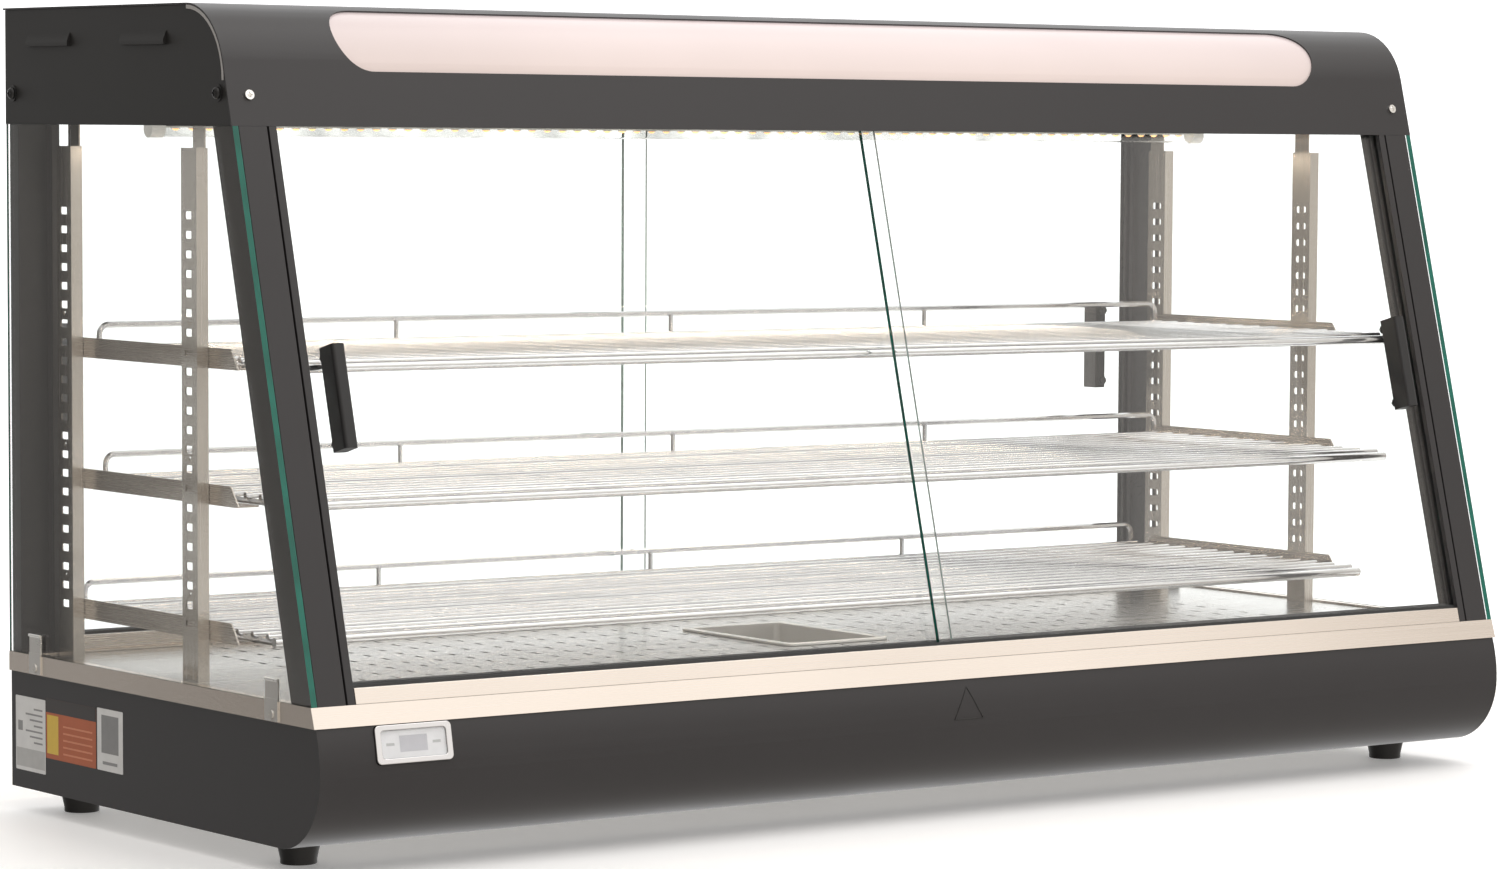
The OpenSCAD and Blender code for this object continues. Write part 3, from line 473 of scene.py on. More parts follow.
LEAN = math.radians(15.0)
LEAN_FACE = (0.0, -math.cos(LEAN), math.sin(LEAN))

CHARCOAL = PowderCoat("charcoal_coat", "charcoal_paint", (0.026, 0.0245, 0.026), roughness=0.40)
BLACK_COAT = PowderCoat("black_coat", "black_paint", (0.016, 0.0155, 0.015), roughness=0.45)
RAIL_STEEL = BrushedSteel("rail_steel", "stainless", (0.86, 0.79, 0.72), roughness=0.24, streak=0.012)
DECK_STEEL = BrushedSteel("deck_steel", "stainless", (0.60, 0.59, 0.57), roughness=0.24, streak=0.01)
POST_STEEL = BrushedSteel("post_steel", "stainless", (0.70, 0.66, 0.61), along=Axis.Z, roughness=0.22,
                          streak=0.012)
BRACKET_STEEL = BrushedSteel("bracket_steel", "stainless", (0.62, 0.57, 0.52), along=Axis.Y, roughness=0.24,
                             streak=0.012)
PAN_STEEL = BrushedSteel("pan_steel", "stainless", (0.55, 0.55, 0.54), roughness=0.35, streak=0.02)
TRIM_STEEL = BrushedSteel("trim_steel", "chrome_wire", (0.72, 0.70, 0.68), roughness=0.35, streak=0.01)
TRAY_STEEL = BrushedSteel("tray_steel", "stainless", (0.80, 0.79, 0.77), roughness=0.42, streak=0.01)
BOLT_STEEL = Plating("bolt_steel", "stainless", (0.86, 0.85, 0.82), 0.28)
CHROME = Plating("chrome_plate", "chrome_wire")
SHEATH = BrushedSteel("heater_sheath_steel", "heater_sheath", (0.30, 0.26, 0.24), roughness=0.45)
BLACK_STEEL = PowderCoat("black_steel_coat", "black_steel", (0.02, 0.02, 0.02), roughness=0.35)
BLACK_PLASTIC = Moulding("black_moulding", "black_plastic", (0.016, 0.016, 0.017), roughness=0.42)
GASKET = Moulding("gasket_moulding", "black_plastic", (0.03, 0.032, 0.033), roughness=0.55)
RUBBER = Moulding("foot_rubber", "rubber_foot", (0.014, 0.014, 0.014), roughness=0.6, grain=0.3)
CREAM = Moulding("cream_moulding", "cream_plastic", (0.62, 0.58, 0.48), roughness=0.4)
RED = Moulding("red_rocker_moulding", "red_rocker", (0.45, 0.02, 0.015), roughness=0.25, grain=0.03,
               glow=0.15)
# The glow on this white plastic is painted light on the lamp fittings and the diode blocks, standing in for
# the diodes' light falling on them; on the sign light it is that lamp's own glow.
LAMP_WHITE = Moulding("lamp_white", "white_plastic", (0.86, 0.84, 0.79), roughness=0.35, grain=0.04,
                      glow=0.25)
SIDE_GLASS = CutGlass("side_glass_sheet", "clear_glass", (1.0, 0.0, 0.0), edge=(0.008, 0.20, 0.145))
FRONT_GLASS = CutGlass("front_pane_sheet", "clear_glass", LEAN_FACE, edge=(0.01, 0.13, 0.10))
REAR_GLASS = CutGlass("rear_pane_sheet", "clear_glass", (0.0, 1.0, 0.0), edge=(0.30, 0.52, 0.46),
                      edge_clear=0.6)
TUBE_GLASS = CutGlass("lamp_tube_sheet", "lamp_clear", (1.0, 0.0, 0.0), tint=(0.97, 0.97, 0.95),
                      edge=(0.97, 0.97, 0.95), edge_clear=1.0, bend=1.12)
LENS_GLASS = CutGlass("display_lens_sheet", "lamp_clear", (0.0, 1.0, 0.0), edge=(0.9, 0.95, 0.95),
                      edge_clear=1.0)
DIODE = Diode("warm_diode", "white_plastic", (1.0, 0.50, 0.20), 2.6)


# ---------------------------------------------------------------- sizes shared by all


@dataclass(frozen=True)
class CaseSizes:
    """Sizes and places of the case in millimetres, as its maker states them."""

    front_y: float = -239.696
    top_z: float = 129.0
    nose_y: float = -249.396
    nose_z: float = 77.3
    nose_upper_r: float = 109.0

    def plane(self, z: float, depth: float = 0.0) -> float:
        """Gives the Y of the sloping front plane at a height, plus a depth behind it."""
        return self.front_y + (z - self.top_z) * math.tan(LEAN) + depth

    def nose(self, z: float) -> float:
        """Gives the Y of the base's rounded front at a height above its foremost line."""
        return self.nose_y + self.nose_upper_r - math.sqrt(self.nose_upper_r ** 2 - (z - self.nose_z) ** 2)


SIZES = CaseSizes()


# ---------------------------------------------------------------- mesh helpers


def put(name: str, mesh: bpy.types.Mesh) -> bpy.types.Object:
    """Links a mesh into the scene as an object at the origin."""
    made = bpy.data.objects.new(name, mesh)
    bpy.context.scene.collection.objects.link(made)
    return made


def dress(piece: bpy.types.Object, finish: Finish) -> None:
    """Gives an object one finish on all its faces.

    Args:
        piece: The object to dress.
        finish: The finish that it takes.
    """
    piece.data.materials.clear()
    piece.data.materials.append(finish.material())
    piece.data.polygons.foreach_set("material_index", [0] * len(piece.data.polygons))


def dress_nodes(finish: Finish, *nodes: str) -> None:
    """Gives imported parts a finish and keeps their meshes.

    Args:
        finish: The finish that they take.
        *nodes: Names of the parts.
    """
    for node in nodes:
        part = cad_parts[node]
        for slot in part.material_slots:
            slot.material = finish.material()
        log.info("dressed %s in %s", node, finish.name)


def smooth_by_angle(mesh: bpy.types.Mesh, degrees: float) -> None:
    """Shades a mesh smooth and keeps edges over an angle sharp.

    Args:
        mesh: The mesh.
        degrees: The largest angle that still shades smooth.
    """
    mesh.polygons.foreach_set("use_smooth", [True] * len(mesh.polygons))
    mesh.set_sharp_from_angle(angle=math.radians(degrees))


def settle(piece: bpy.types.Object) -> bpy.types.Object:
    """Turns an object with modifiers into a plain mesh object of the same name.

    Args:
        piece: The object to settle.

    Returns:
        The plain object.
    """
    graph = bpy.context.evaluated_depsgraph_get()
    mesh = bpy.data.meshes.new_from_object(piece.evaluated_get(graph))
    name = piece.name
    bpy.data.objects.remove(piece)
    mesh.name = name
    return put(name, mesh)


def eased_copy(node: str, body: str, finish: Finish, width: float, steps: int = 2) -> bpy.types.Object:
    """Replaces a part by a copy whose sharp edges are broken.

    Args:
        node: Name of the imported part.
        body: Body that the copy rides on.
        finish: Finish of the copy.
        width: Width of the broken edges in millimetres.
        steps: Facets across a broken edge.

    Returns:
        The new object.
    """
    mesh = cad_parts[node].data.copy()
    shape = bmesh.new()
    shape.from_mesh(mesh)
    bmesh.ops.remove_doubles(shape, verts=shape.verts, dist=2e-6)
    bmesh.ops.dissolve_limit(shape, angle_limit=math.radians(0.5), verts=shape.verts, edges=shape.edges)
    shape.to_mesh(mesh)
    shape.free()
    if mesh.has_custom_normals:
        mesh.attributes.remove(mesh.attributes["custom_normal"])
    copy = put(node + "_eased", mesh)
    bevel = copy.modifiers.new("eased", "BEVEL")
    bevel.width = width * MM
    bevel.segments = steps
    bevel.limit_method = "ANGLE"
    bevel.angle_limit = math.radians(32)
    bevel.miter_outer = "MITER_ARC"
    bevelled = settle(copy)
    smooth_by_angle(bevelled.data, 32)
    level = bevelled.modifiers.new("level", "WEIGHTED_NORMAL")
    level.weight = 100
    level.keep_sharp = True
    made = settle(bevelled)
    dress(made, finish)
    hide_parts(node)
    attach(made, body)
    log.info("eased %s by %.2f mm, %d faces", node, width, len(made.data.polygons))
    return made


def extra(piece: bpy.types.Object, body: str) -> bpy.types.Object:
    """Hands a finished extra piece to the frame.

    Args:
        piece: The piece.
        body: Body that it rides on.

    Returns:
        The same piece.
    """
    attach(piece, body)
    log.info("made %s on %s, %d faces", piece.name, body, len(piece.data.polygons))
    return piece


def rounded_plate(name: str, width: float, height: float, thick: float, radius: float,
                  place: Matrix) -> bpy.types.Object:
    """Makes a thin plate with round corners in its own X and Y, facing +Z.

    Args:
        name: Name of the object.
        width: Size along X in millimetres.
        height: Size along Y in millimetres.
        thick: Thickness in millimetres.
        radius: Corner radius in millimetres.
        place: Where the plate's middle and axes go, in metres.

    Returns:
        The new object.
    """
    shape = bmesh.new()
    ring = []
    for corner, (sx, sy) in enumerate(((1, 1), (-1, 1), (-1, -1), (1, -1))):
        for step in range(7):
            turn = math.radians(corner * 90 + step * 15)
            ring.append(shape.verts.new(((sx * (width / 2 - radius) + radius * math.cos(turn)) * MM,
                                         (sy * (height / 2 - radius) + radius * math.sin(turn)) * MM, 0.0)))
    base = shape.faces.new(ring)
    grown = bmesh.ops.extrude_face_region(shape, geom=[base])
    top = [v for v in grown["geom"] if isinstance(v, bmesh.types.BMVert)]
    bmesh.ops.translate(shape, verts=top, vec=(0, 0, thick * MM))
    bmesh.ops.recalc_face_normals(shape, faces=shape.faces)
    mesh = bpy.data.meshes.new(name)
    shape.to_mesh(mesh)
    shape.free()
    mesh.transform(place)
    smooth_by_angle(mesh, 30)
    return put(name, mesh)


def swept(name: str, path: list[Point], radius: float, closed: bool = False,
          sides: int = 10) -> bpy.types.Mesh:
    """Sweeps a round wire along a path in millimetres.

    Args:
        name: Name of the mesh.
        path: Points along the middle of the wire.
        radius: Radius of the wire in millimetres.
        closed: Whether the wire joins its own start.
        sides: Facets round the wire.

    Returns:
        The wire's mesh.
    """
    curve = bpy.data.curves.new(name, "CURVE")
    curve.dimensions = "3D"
    curve.bevel_depth = radius * MM
    curve.bevel_resolution = max(0, sides // 4 - 1)
    curve.use_fill_caps = not closed
    line = curve.splines.new("POLY")
    line.points.add(len(path) - 1)
    for point, place in zip(line.points, path):
        point.co = (*(Vector(place) * MM), 1.0)
    line.use_cyclic_u = closed
    holder = bpy.data.objects.new(name, curve)
    bpy.context.scene.collection.objects.link(holder)
    mesh = bpy.data.meshes.new_from_object(holder.evaluated_get(bpy.context.evaluated_depsgraph_get()))
    bpy.data.objects.remove(holder)
    return mesh


def joined(name: str, meshes: list[bpy.types.Mesh]) -> bpy.types.Object:
    """Joins meshes into one object.

    Args:
        name: Name of the object.
        meshes: The meshes to join.

    Returns:
        The joined object.
    """
    shape = bmesh.new()
    for mesh in meshes:
        shape.from_mesh(mesh)
    whole = bpy.data.meshes.new(name)
    shape.to_mesh(whole)
    shape.free()
    return put(name, whole)


# ---------------------------------------------------------------- geometry node trees


class Pattern:
    """A geometry node tree with named inputs, baked to a plain mesh."""

    def __init__(self, name: str) -> None:
        """Starts an empty tree.

        Args:
            name: Name of the tree.
        """
        self.tree = bpy.data.node_groups.new(name, "GeometryNodeTree")
        self.graph = Graph(self.tree)
        self.tree.interface.new_socket("Geometry", in_out="INPUT", socket_type="NodeSocketGeometry")
        self.tree.interface.new_socket("Geometry", in_out="OUTPUT", socket_type="NodeSocketGeometry")
        self.start = self.graph.node("NodeGroupInput")
        self.end = self.graph.node("NodeGroupOutput")

    def number(self, name: str, kind: str = "NodeSocketFloat") -> bpy.types.NodeSocket:
        """Adds a named input.

        Args:
            name: Name of the input.
            kind: Socket type of the input.

        Returns:
            The input's socket inside the tree.
        """
        self.tree.interface.new_socket(name, in_out="INPUT", socket_type=kind)
        return self.start.outputs[name]

    def close(self, geometry: bpy.types.NodeSocket, material: bpy.types.Material | None) -> None:
        """Ends the tree in real geometry with a material.

        Args:
            geometry: What the tree has built.
            material: The material, or None where the tree has set its own.
        """
        real = self.graph.node("GeometryNodeRealizeInstances", {0: geometry}).outputs[0]
        if material is not None:
            real = self.graph.node("GeometryNodeSetMaterial", {
                "Geometry": real, "Material": material}).outputs[0]
        self.graph.feed(self.end.inputs[0], real)

    def bake(self, name: str, values: dict[str, object],
             host: bpy.types.Mesh | None = None) -> bpy.types.Mesh:
        """Runs the tree and gives its result as a plain mesh.

        Args:
            name: Name of the resulting mesh.
            values: Value of each named input.
            host: Mesh that the tree starts from, if any.

        Returns:
            The resulting mesh.
        """
        holder = put(name + "_host", host or bpy.data.meshes.new(name + "_host"))
        modifier = holder.modifiers.new(name, "NODES")
        modifier.node_group = self.tree
        for item in self.tree.interface.items_tree:
            if item.in_out == "INPUT" and item.name in values:
                modifier[item.identifier] = values[item.name]
        graph = bpy.context.evaluated_depsgraph_get()
        mesh = bpy.data.meshes.new_from_object(holder.evaluated_get(graph))
        mesh.name = name
        bpy.data.objects.remove(holder)
        return mesh


def wire_rows(material: bpy.types.Material) -> Pattern:
    """Builds the tree for a row of straight parallel wires.

    Args:
        material: Material of the wires.

    Returns:
        The tree.
    """
    rows = Pattern("wire_rows")
    count, pitch = rows.number("Wires", "NodeSocketInt"), rows.number("Pitch")
    length, width = rows.number("Length"), rows.number("Wire Diameter")
    start = rows.number("First Wire", "NodeSocketVector")
    graph = rows.graph
    step = graph.node("ShaderNodeCombineXYZ", {1: pitch}).outputs[0]
    places = graph.node("GeometryNodeMeshLine", {
        "Count": count, "Start Location": start, "Offset": step}, mode="OFFSET")
    half = graph.maths("MULTIPLY", length, 0.5)
    line = graph.node("GeometryNodeCurvePrimitiveLine", {
        "Start": graph.node("ShaderNodeCombineXYZ", {0: graph.maths("MULTIPLY", half, -1.0)}).outputs[0],
        "End": graph.node("ShaderNodeCombineXYZ", {0: half}).outputs[0]})
    ring = graph.node("GeometryNodeCurvePrimitiveCircle", {
        "Resolution": 14, "Radius": graph.maths("MULTIPLY", width, 0.5)})
    wire = graph.node("GeometryNodeCurveToMesh", {
        "Curve": line.outputs[0], "Profile Curve": ring.outputs[0], "Fill Caps": True})
    placed = graph.node("GeometryNodeInstanceOnPoints", {
        "Points": places.outputs[0], "Instance": wire.outputs[0]})
    rows.close(placed.outputs[0], material)
    return rows


def diode_row(board: bpy.types.Material, lens: bpy.types.Material) -> Pattern:
    """Builds the tree for a row of diodes, each a small block with a lit lens under it.

    Args:
        board: Material of the blocks.
        lens: Material of the lenses.

    Returns:
        The tree.
    """
    row = Pattern("diode_row")
    count, pitch = row.number("Diodes", "NodeSocketInt"), row.number("Pitch")
    start = row.number("First Diode", "NodeSocketVector")
    graph = row.graph
    step = graph.node("ShaderNodeCombineXYZ", {0: pitch}).outputs[0]
    places = graph.node("GeometryNodeMeshLine", {
        "Count": count, "Start Location": start, "Offset": step}, mode="OFFSET")
    block = graph.node("GeometryNodeMeshCube", {"Size": (5 * MM, 5 * MM, 1.0 * MM)})
    glow = graph.node("GeometryNodeMeshUVSphere", {"Segments": 12, "Rings": 6, "Radius": 2.6 * MM})
    flat = graph.node("GeometryNodeTransform", {
        "Geometry": glow.outputs[0], "Translation": (0, 0, -0.6 * MM), "Scale": (1.0, 1.0, 0.5)})
    pair = graph.node("GeometryNodeJoinGeometry")
    for shape, material in ((block.outputs[0], board), (flat.outputs[0], lens)):
        coloured = graph.node("GeometryNodeSetMaterial", {"Geometry": shape, "Material": material})
        graph.tree.links.new(coloured.outputs[0], pair.inputs[0])
    placed = graph.node("GeometryNodeInstanceOnPoints", {
        "Points": places.outputs[0], "Instance": pair.outputs[0]})
    row.close(placed.outputs[0], None)
    return row


def screw_head(name: str, width: float, rise: float) -> bpy.types.Object:
    """Makes a domed screw head with a cross recess, facing +Z.

    Args:
        name: Name of the object.
        width: Diameter of the head in millimetres.
        rise: Height of the dome in millimetres.

    Returns:
        The head.
    """
    shape = bmesh.new()
    radius, sides = width / 2, 32
    turns = [2 * math.pi * k / sides for k in range(sides)]
    rings = []
    for step in range(6):
        share = math.radians(step * 15)
        ring_r, z = radius * math.cos(share), rise * math.sin(share)
        rings.append([shape.verts.new((ring_r * math.cos(turn) * MM, ring_r * math.sin(turn) * MM, z * MM))
                      for turn in turns])
    for low, high in zip(rings, rings[1:]):
        for k in range(sides):
            shape.faces.new((low[k], low[(k + 1) % sides], high[(k + 1) % sides], high[k]))
    shape.faces.new(rings[-1])
    shape.faces.new(rings[0][::-1])
    dome = bpy.data.meshes.new(name)
    shape.to_mesh(dome)
    shape.free()
    head = put(name, dome)
    floor = Matrix.Translation((0, 0, rise * 0.55 * MM))
    for turn in (0.0, 90.0):
        cutter = rounded_plate(name + "_cut", radius * 1.15, radius * 0.32, rise, radius * 0.1,
                               floor @ Matrix.Rotation(math.radians(turn), 4, "Z"))
        cut = head.modifiers.new("recess", "BOOLEAN")
        cut.operation, cut.object, cut.solver = "DIFFERENCE", cutter, "EXACT"
        head = settle(head)
        bpy.data.objects.remove(cutter)
    smooth_by_angle(head.data, 35)
    return head


def screw_set(template: bpy.types.Object, material: bpy.types.Material) -> Pattern:
    """Builds the tree that sets a screw head on each point, turned to the point's facing.

    Args:
        template: The screw head, facing +Z.
        material: Material of the heads.

    Returns:
        The tree.
    """
    heads = Pattern("screw_set_" + template.name)
    size = heads.number("Head Scale", "NodeSocketVector")
    graph = heads.graph
    facing = graph.node("GeometryNodeInputNamedAttribute", {"Name": "facing"}, data_type="FLOAT_VECTOR")
    turned = graph.node("FunctionNodeAlignRotationToVector", {"Vector": facing.outputs[0]}, axis="Z")
    info = graph.node("GeometryNodeObjectInfo", {"Object": template, "As Instance": True})
    placed = graph.node("GeometryNodeInstanceOnPoints", {
        "Points": heads.start.outputs["Geometry"], "Instance": info.outputs["Geometry"],
        "Rotation": turned.outputs[0], "Scale": size})
    heads.close(placed.outputs[0], material)
    return heads


# ---------------------------------------------------------------- sub-assemblies


@dataclass
class BaseHousing:
    """Painted base with its pan, feet, stickers and front mark."""

    label_x: float = -596.0
    film_t: float = 0.15
    white: Colour = (0.62, 0.62, 0.61)
    grey: Colour = (0.24, 0.24, 0.24)
    orange: Colour = (0.40, 0.095, 0.03)

    def build(self) -> None:
        """Dresses the base and adds its stickers."""
        for node in ("base_front_panel", "base_side_left", "base_side_right"):
            eased_copy(node, "case", CHARCOAL, 0.5)
        dress_nodes(CHARCOAL, "base_rear_panel")
        dress_nodes(PAN_STEEL, "base_pan")
        eased_copy("feet", "case", RUBBER, 0.8, 3)
        self.rating_label()
        self.heat_label()
        self.plain_label()
        self.front_mark()

    def rating_label(self) -> None:
        """Adds the rear sticker: a column of short bars over a grey block."""
        bars = [Patch((0.185, 0.057 + 0.0045 * k), (0.200 + 0.007 * (k % 3), 0.0585 + 0.0045 * k), self.grey)
                for k in range(7)]
        self.sticker("rating_label", (180.0, 231.0), (34.0, 94.0), self.white,
                     Patch((0.181, 0.037), (0.230, 0.052), (0.42, 0.42, 0.41)), *bars,
                     Patch((0.219, 0.066), (0.227, 0.074), self.grey))

    def heat_label(self) -> None:
        """Adds the middle sticker: orange, with a dark head, a yellow block and five bars."""
        bars = [Patch((0.101, 0.053 + 0.0055 * k), (0.150, 0.0545 + 0.0055 * k), (0.55, 0.20, 0.10))
                for k in range(5)]
        self.sticker("heat_label", (95.0, 179.0), (48.0, 96.0), self.orange,
                     Patch((0.095, 0.085), (0.179, 0.096), (0.035, 0.03, 0.03)),
                     Patch((0.158, 0.052), (0.177, 0.083), (0.62, 0.42, 0.05)), *bars)

    def plain_label(self) -> None:
        """Adds the front sticker: a dark square over a thin bar."""
        self.sticker("plain_label", (51.0, 93.0), (48.0, 97.0), self.white,
                     Patch((0.058, 0.062), (0.086, 0.092), (0.22, 0.22, 0.22)),
                     Patch((0.060, 0.053), (0.084, 0.0555), self.grey))

    def sticker(self, name: str, across: tuple[float, float], up: tuple[float, float], ground: Colour,
                *patches: Patch) -> None:
        """Adds one plain sticker to the left side.

        Args:
            name: Name of the sticker.
            across: Its ends along Y in millimetres.
            up: Its lower and upper edge in millimetres.
            ground: Colour of the film.
            *patches: Blocks of colour on it.
        """
        (y0, y1), (z0, z1) = across, up
        place = Matrix(((0, 0, -1, self.label_x * MM), (-1, 0, 0, (y0 + y1) / 2 * MM),
                        (0, 1, 0, (z0 + z1) / 2 * MM), (0, 0, 0, 1)))
        film = rounded_plate(name, y1 - y0, z1 - z0, self.film_t, 1.0, place)
        dress(film, Sticker(name + "_film", "white_plastic", ground, Axis.Y, patches))
        extra(film, "case")

    def front_mark(self) -> None:
        """Adds a plain raised triangle to the front, following the curve."""
        corners = ((-8.0, 81.5), (21.0, 81.5), (6.5, 107.0))
        steps = 8
        path = []
        for (x0, z0), (x1, z1) in zip(corners, corners[1:] + corners[:1]):
            for step in range(steps):
                share = step / steps
                z = z0 + (z1 - z0) * share
                path.append((x0 + (x1 - x0) * share, SIZES.nose(z), z))
        mark = put("front_mark", swept("front_mark", path, 0.55, closed=True, sides=8))
        smooth_by_angle(mark.data, 60)
        dress(mark, BLACK_COAT)
        extra(mark, "case")


@dataclass
class Worktop:
    """Stainless rail, slotted deck and water tray."""

    def build(self) -> None:
        """Dresses the rail, the deck and the tray."""
        eased_copy("worktop_rail", "case", RAIL_STEEL, 0.8)
        dress_nodes(DECK_STEEL, "deck_plate")
        eased_copy("water_tray", "tray", TRAY_STEEL, 0.6)


@dataclass
class Heating:
    """Heater elements, fan housing and rotor inside the base."""

    def build(self) -> None:
        """Dresses the parts under the deck."""
        dress_nodes(SHEATH, "heater_elements")
        dress_nodes(BLACK_PLASTIC, "fan_frame", "fan_rotor")


@dataclass
class Glazing:
    """Posts, jambs, sills, tracks, side glass and clips."""

    def build(self) -> None:
        """Dresses the fixed glazing."""
        for node in ("front_posts", "door_jambs", "rear_posts", "front_top_track", "rear_top_track"):
            eased_copy(node, "case", CHARCOAL, 0.5)
        for node in ("front_sill", "rear_sill"):
            eased_copy(node, "case", RAIL_STEEL, 0.6)
        dress_nodes(GASKET, "sill_gaskets")
        dress_nodes(SIDE_GLASS, "side_glass_left", "side_glass_right")
        eased_copy("glass_clips", "case", BOLT_STEEL, 0.25)


@dataclass
class Doors:
    """Four sliding panes with their handles and bolts."""

    bodies: dict[str, str] = field(default_factory=lambda: {
        "front_handle_left": "front_door_left", "front_handle_right": "front_door_right",
        "rear_handle_left": "rear_door_left", "rear_handle_right": "rear_door_right"})

    def build(self) -> None:
        """Dresses panes, bolts and handles."""
        dress_nodes(FRONT_GLASS, "front_pane_left", "front_pane_right")
        dress_nodes(REAR_GLASS, "rear_pane_left", "rear_pane_right")
        dress_nodes(BLACK_STEEL, "front_bolts_left", "front_bolts_right", "rear_bolts_left",
                    "rear_bolts_right")
        for node, body in self.bodies.items():
            eased_copy(node, body, BLACK_PLASTIC, 0.8, 3)


@dataclass
class Canopy:
    """Curved cover with its lit window, ends, trims and inner sheets."""

    window: LitSheet = LitSheet("window_sheet", "diffuser", (0.50, 0.42, 0.39), (0.52, 0.45, 0.45), 0.55,
                                0.588, 0.640, 0.5)

    def build(self) -> None:
        """Dresses the canopy."""
        eased_copy("canopy_cover", "case", CHARCOAL, 0.5)
        for node in ("canopy_end_left", "canopy_end_right"):
            eased_copy(node, "case", BLACK_COAT, 0.3)
        dress_nodes(self.window, "canopy_window")
        dress_nodes(TRIM_STEEL, "canopy_trims")
        dress_nodes(PAN_STEEL, "canopy_ceiling")
        dress_nodes(CHARCOAL, "canopy_rear_panel")
        dress_nodes(LAMP_WHITE, "sign_light")


@dataclass
class Lamp:
    """Clear lamp tube with its strip of warm diodes."""

    length: float = 1060.0
    pitch: float = 15.0
    y: float = 100.0
    z: float = 551.0

    def build(self) -> None:
        """Dresses the tube and lays the diodes along its strip."""
        dress_nodes(TUBE_GLASS, "lamp_tube")
        # The fittings and the diode blocks take the white plastic whose glow is painted light from the
        # diodes.
        dress_nodes(LAMP_WHITE, "lamp_fittings")
        count = int((self.length - 20) / self.pitch) + 1
        first = -(count - 1) * self.pitch / 2
        mesh = diode_row(LAMP_WHITE.material(), DIODE.material()).bake("lamp_diodes", {
            "Diodes": count, "Pitch": self.pitch * MM,
            "First Diode": (first * MM, self.y * MM, (self.z + 0.5) * MM)})
        extra(put("lamp_diodes", mesh), "case")


@dataclass
class WireShelf:
    """One wire shelf: parallel wires on cross rods, a thick front rod and a raised back rail."""

    node: str
    body: str
    bracket_z: float
    shift: float
    front: float
    length: float = 1108.0
    depth: float = 312.0
    wire: float = 5.0
    front_rod: float = 8.0
    pitch: float = 23.0
    rise: float = 18.0
    ledge: float = 1.5
    bend: float = 8.0

    def build(self, rows: Pattern) -> None:
        """Builds the shelf as one piece.

        Args:
            rows: The tree for the parallel wires.
        """
        x0, x1 = self.shift - self.length / 2, self.shift + self.length / 2
        back = self.front + self.depth
        rod_z = self.bracket_z + self.ledge + self.wire / 2 + 0.1
        wire_z = self.bracket_z + self.ledge + 1.5 * self.wire - 0.8
        count = int((self.depth - 12) // self.pitch) + 1
        meshes = [rows.bake(self.node + "_rows", {
            "Wires": count, "Pitch": self.pitch * MM, "Length": self.length * MM,
            "Wire Diameter": self.wire * MM,
            "First Wire": (self.shift * MM, (self.front + 10) * MM, wire_z * MM)})]
        radius = self.wire / 2
        meshes.append(swept("front", [(x, self.front, rod_z + 0.4) for x in (x0, x1)], self.front_rod / 2,
                            sides=16))
        meshes.append(swept("back", [(x0, back, rod_z), (x1, back, rod_z)], radius))
        for x in (x0 + 3, x0 + self.length / 3, x1 - self.length / 3, x1 - 3):
            meshes.append(swept("cross", [(x, self.front, rod_z), (x, back + 1, rod_z)], radius))
        meshes.append(swept("rail", self.rail_path(x0, x1, back, rod_z, wire_z + self.rise), radius))
        for share in (0.25, 0.5, 0.75):
            x = x0 + self.length * share
            meshes.append(swept("post", [(x, back, rod_z), (x, back, wire_z + self.rise)], radius - 0.2))
        shelf = joined(self.node + "_wires", meshes)
        smooth_by_angle(shelf.data, 50)
        dress(shelf, CHROME)
        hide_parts(self.node)
        extra(shelf, self.body)

    def rail_path(self, x0: float, x1: float, y: float, low: float, top: float) -> list[Point]:
        """Gives the middle line of the back rail with its two round bends.

        Args:
            x0: Left end of the shelf.
            x1: Right end of the shelf.
            y: Y of the rail.
            low: Height where the rail's legs start.
            top: Height of the rail.

        Returns:
            Points from the left leg over the rail to the right leg.
        """
        turns = [math.radians(9 * k) for k in range(11)]
        left = [(x0 + 5 + self.bend * (1 - math.sin(t)), y, top - self.bend + self.bend * math.cos(t))
                for t in turns]
        right = [(x0 + x1 - p[0], p[1], p[2]) for p in left]
        return [(x0 + 5, y, low)] + left[::-1] + right + [(x1 - 5, y, low)]


@dataclass
class Shelving:
    """Slotted uprights, brackets and three wire shelves."""

    shelves: tuple[WireShelf, ...] = (
        WireShelf("bottom_shelf", "lower_shelf", 158.0, 6.0, -105.0),
        WireShelf("middle_shelf", "mid_shelf", 263.0, 12.0, -130.0),
        WireShelf("top_shelf", "upper_shelf", 368.0, -1.0, -145.0))

    def build(self) -> None:
        """Dresses uprights and brackets and builds the shelves."""
        dress_nodes(POST_STEEL, "shelf_posts")
        dress_nodes(BRACKET_STEEL, "shelf_brackets")
        rows = wire_rows(CHROME.material())
        for shelf in self.shelves:
            shelf.build(rows)


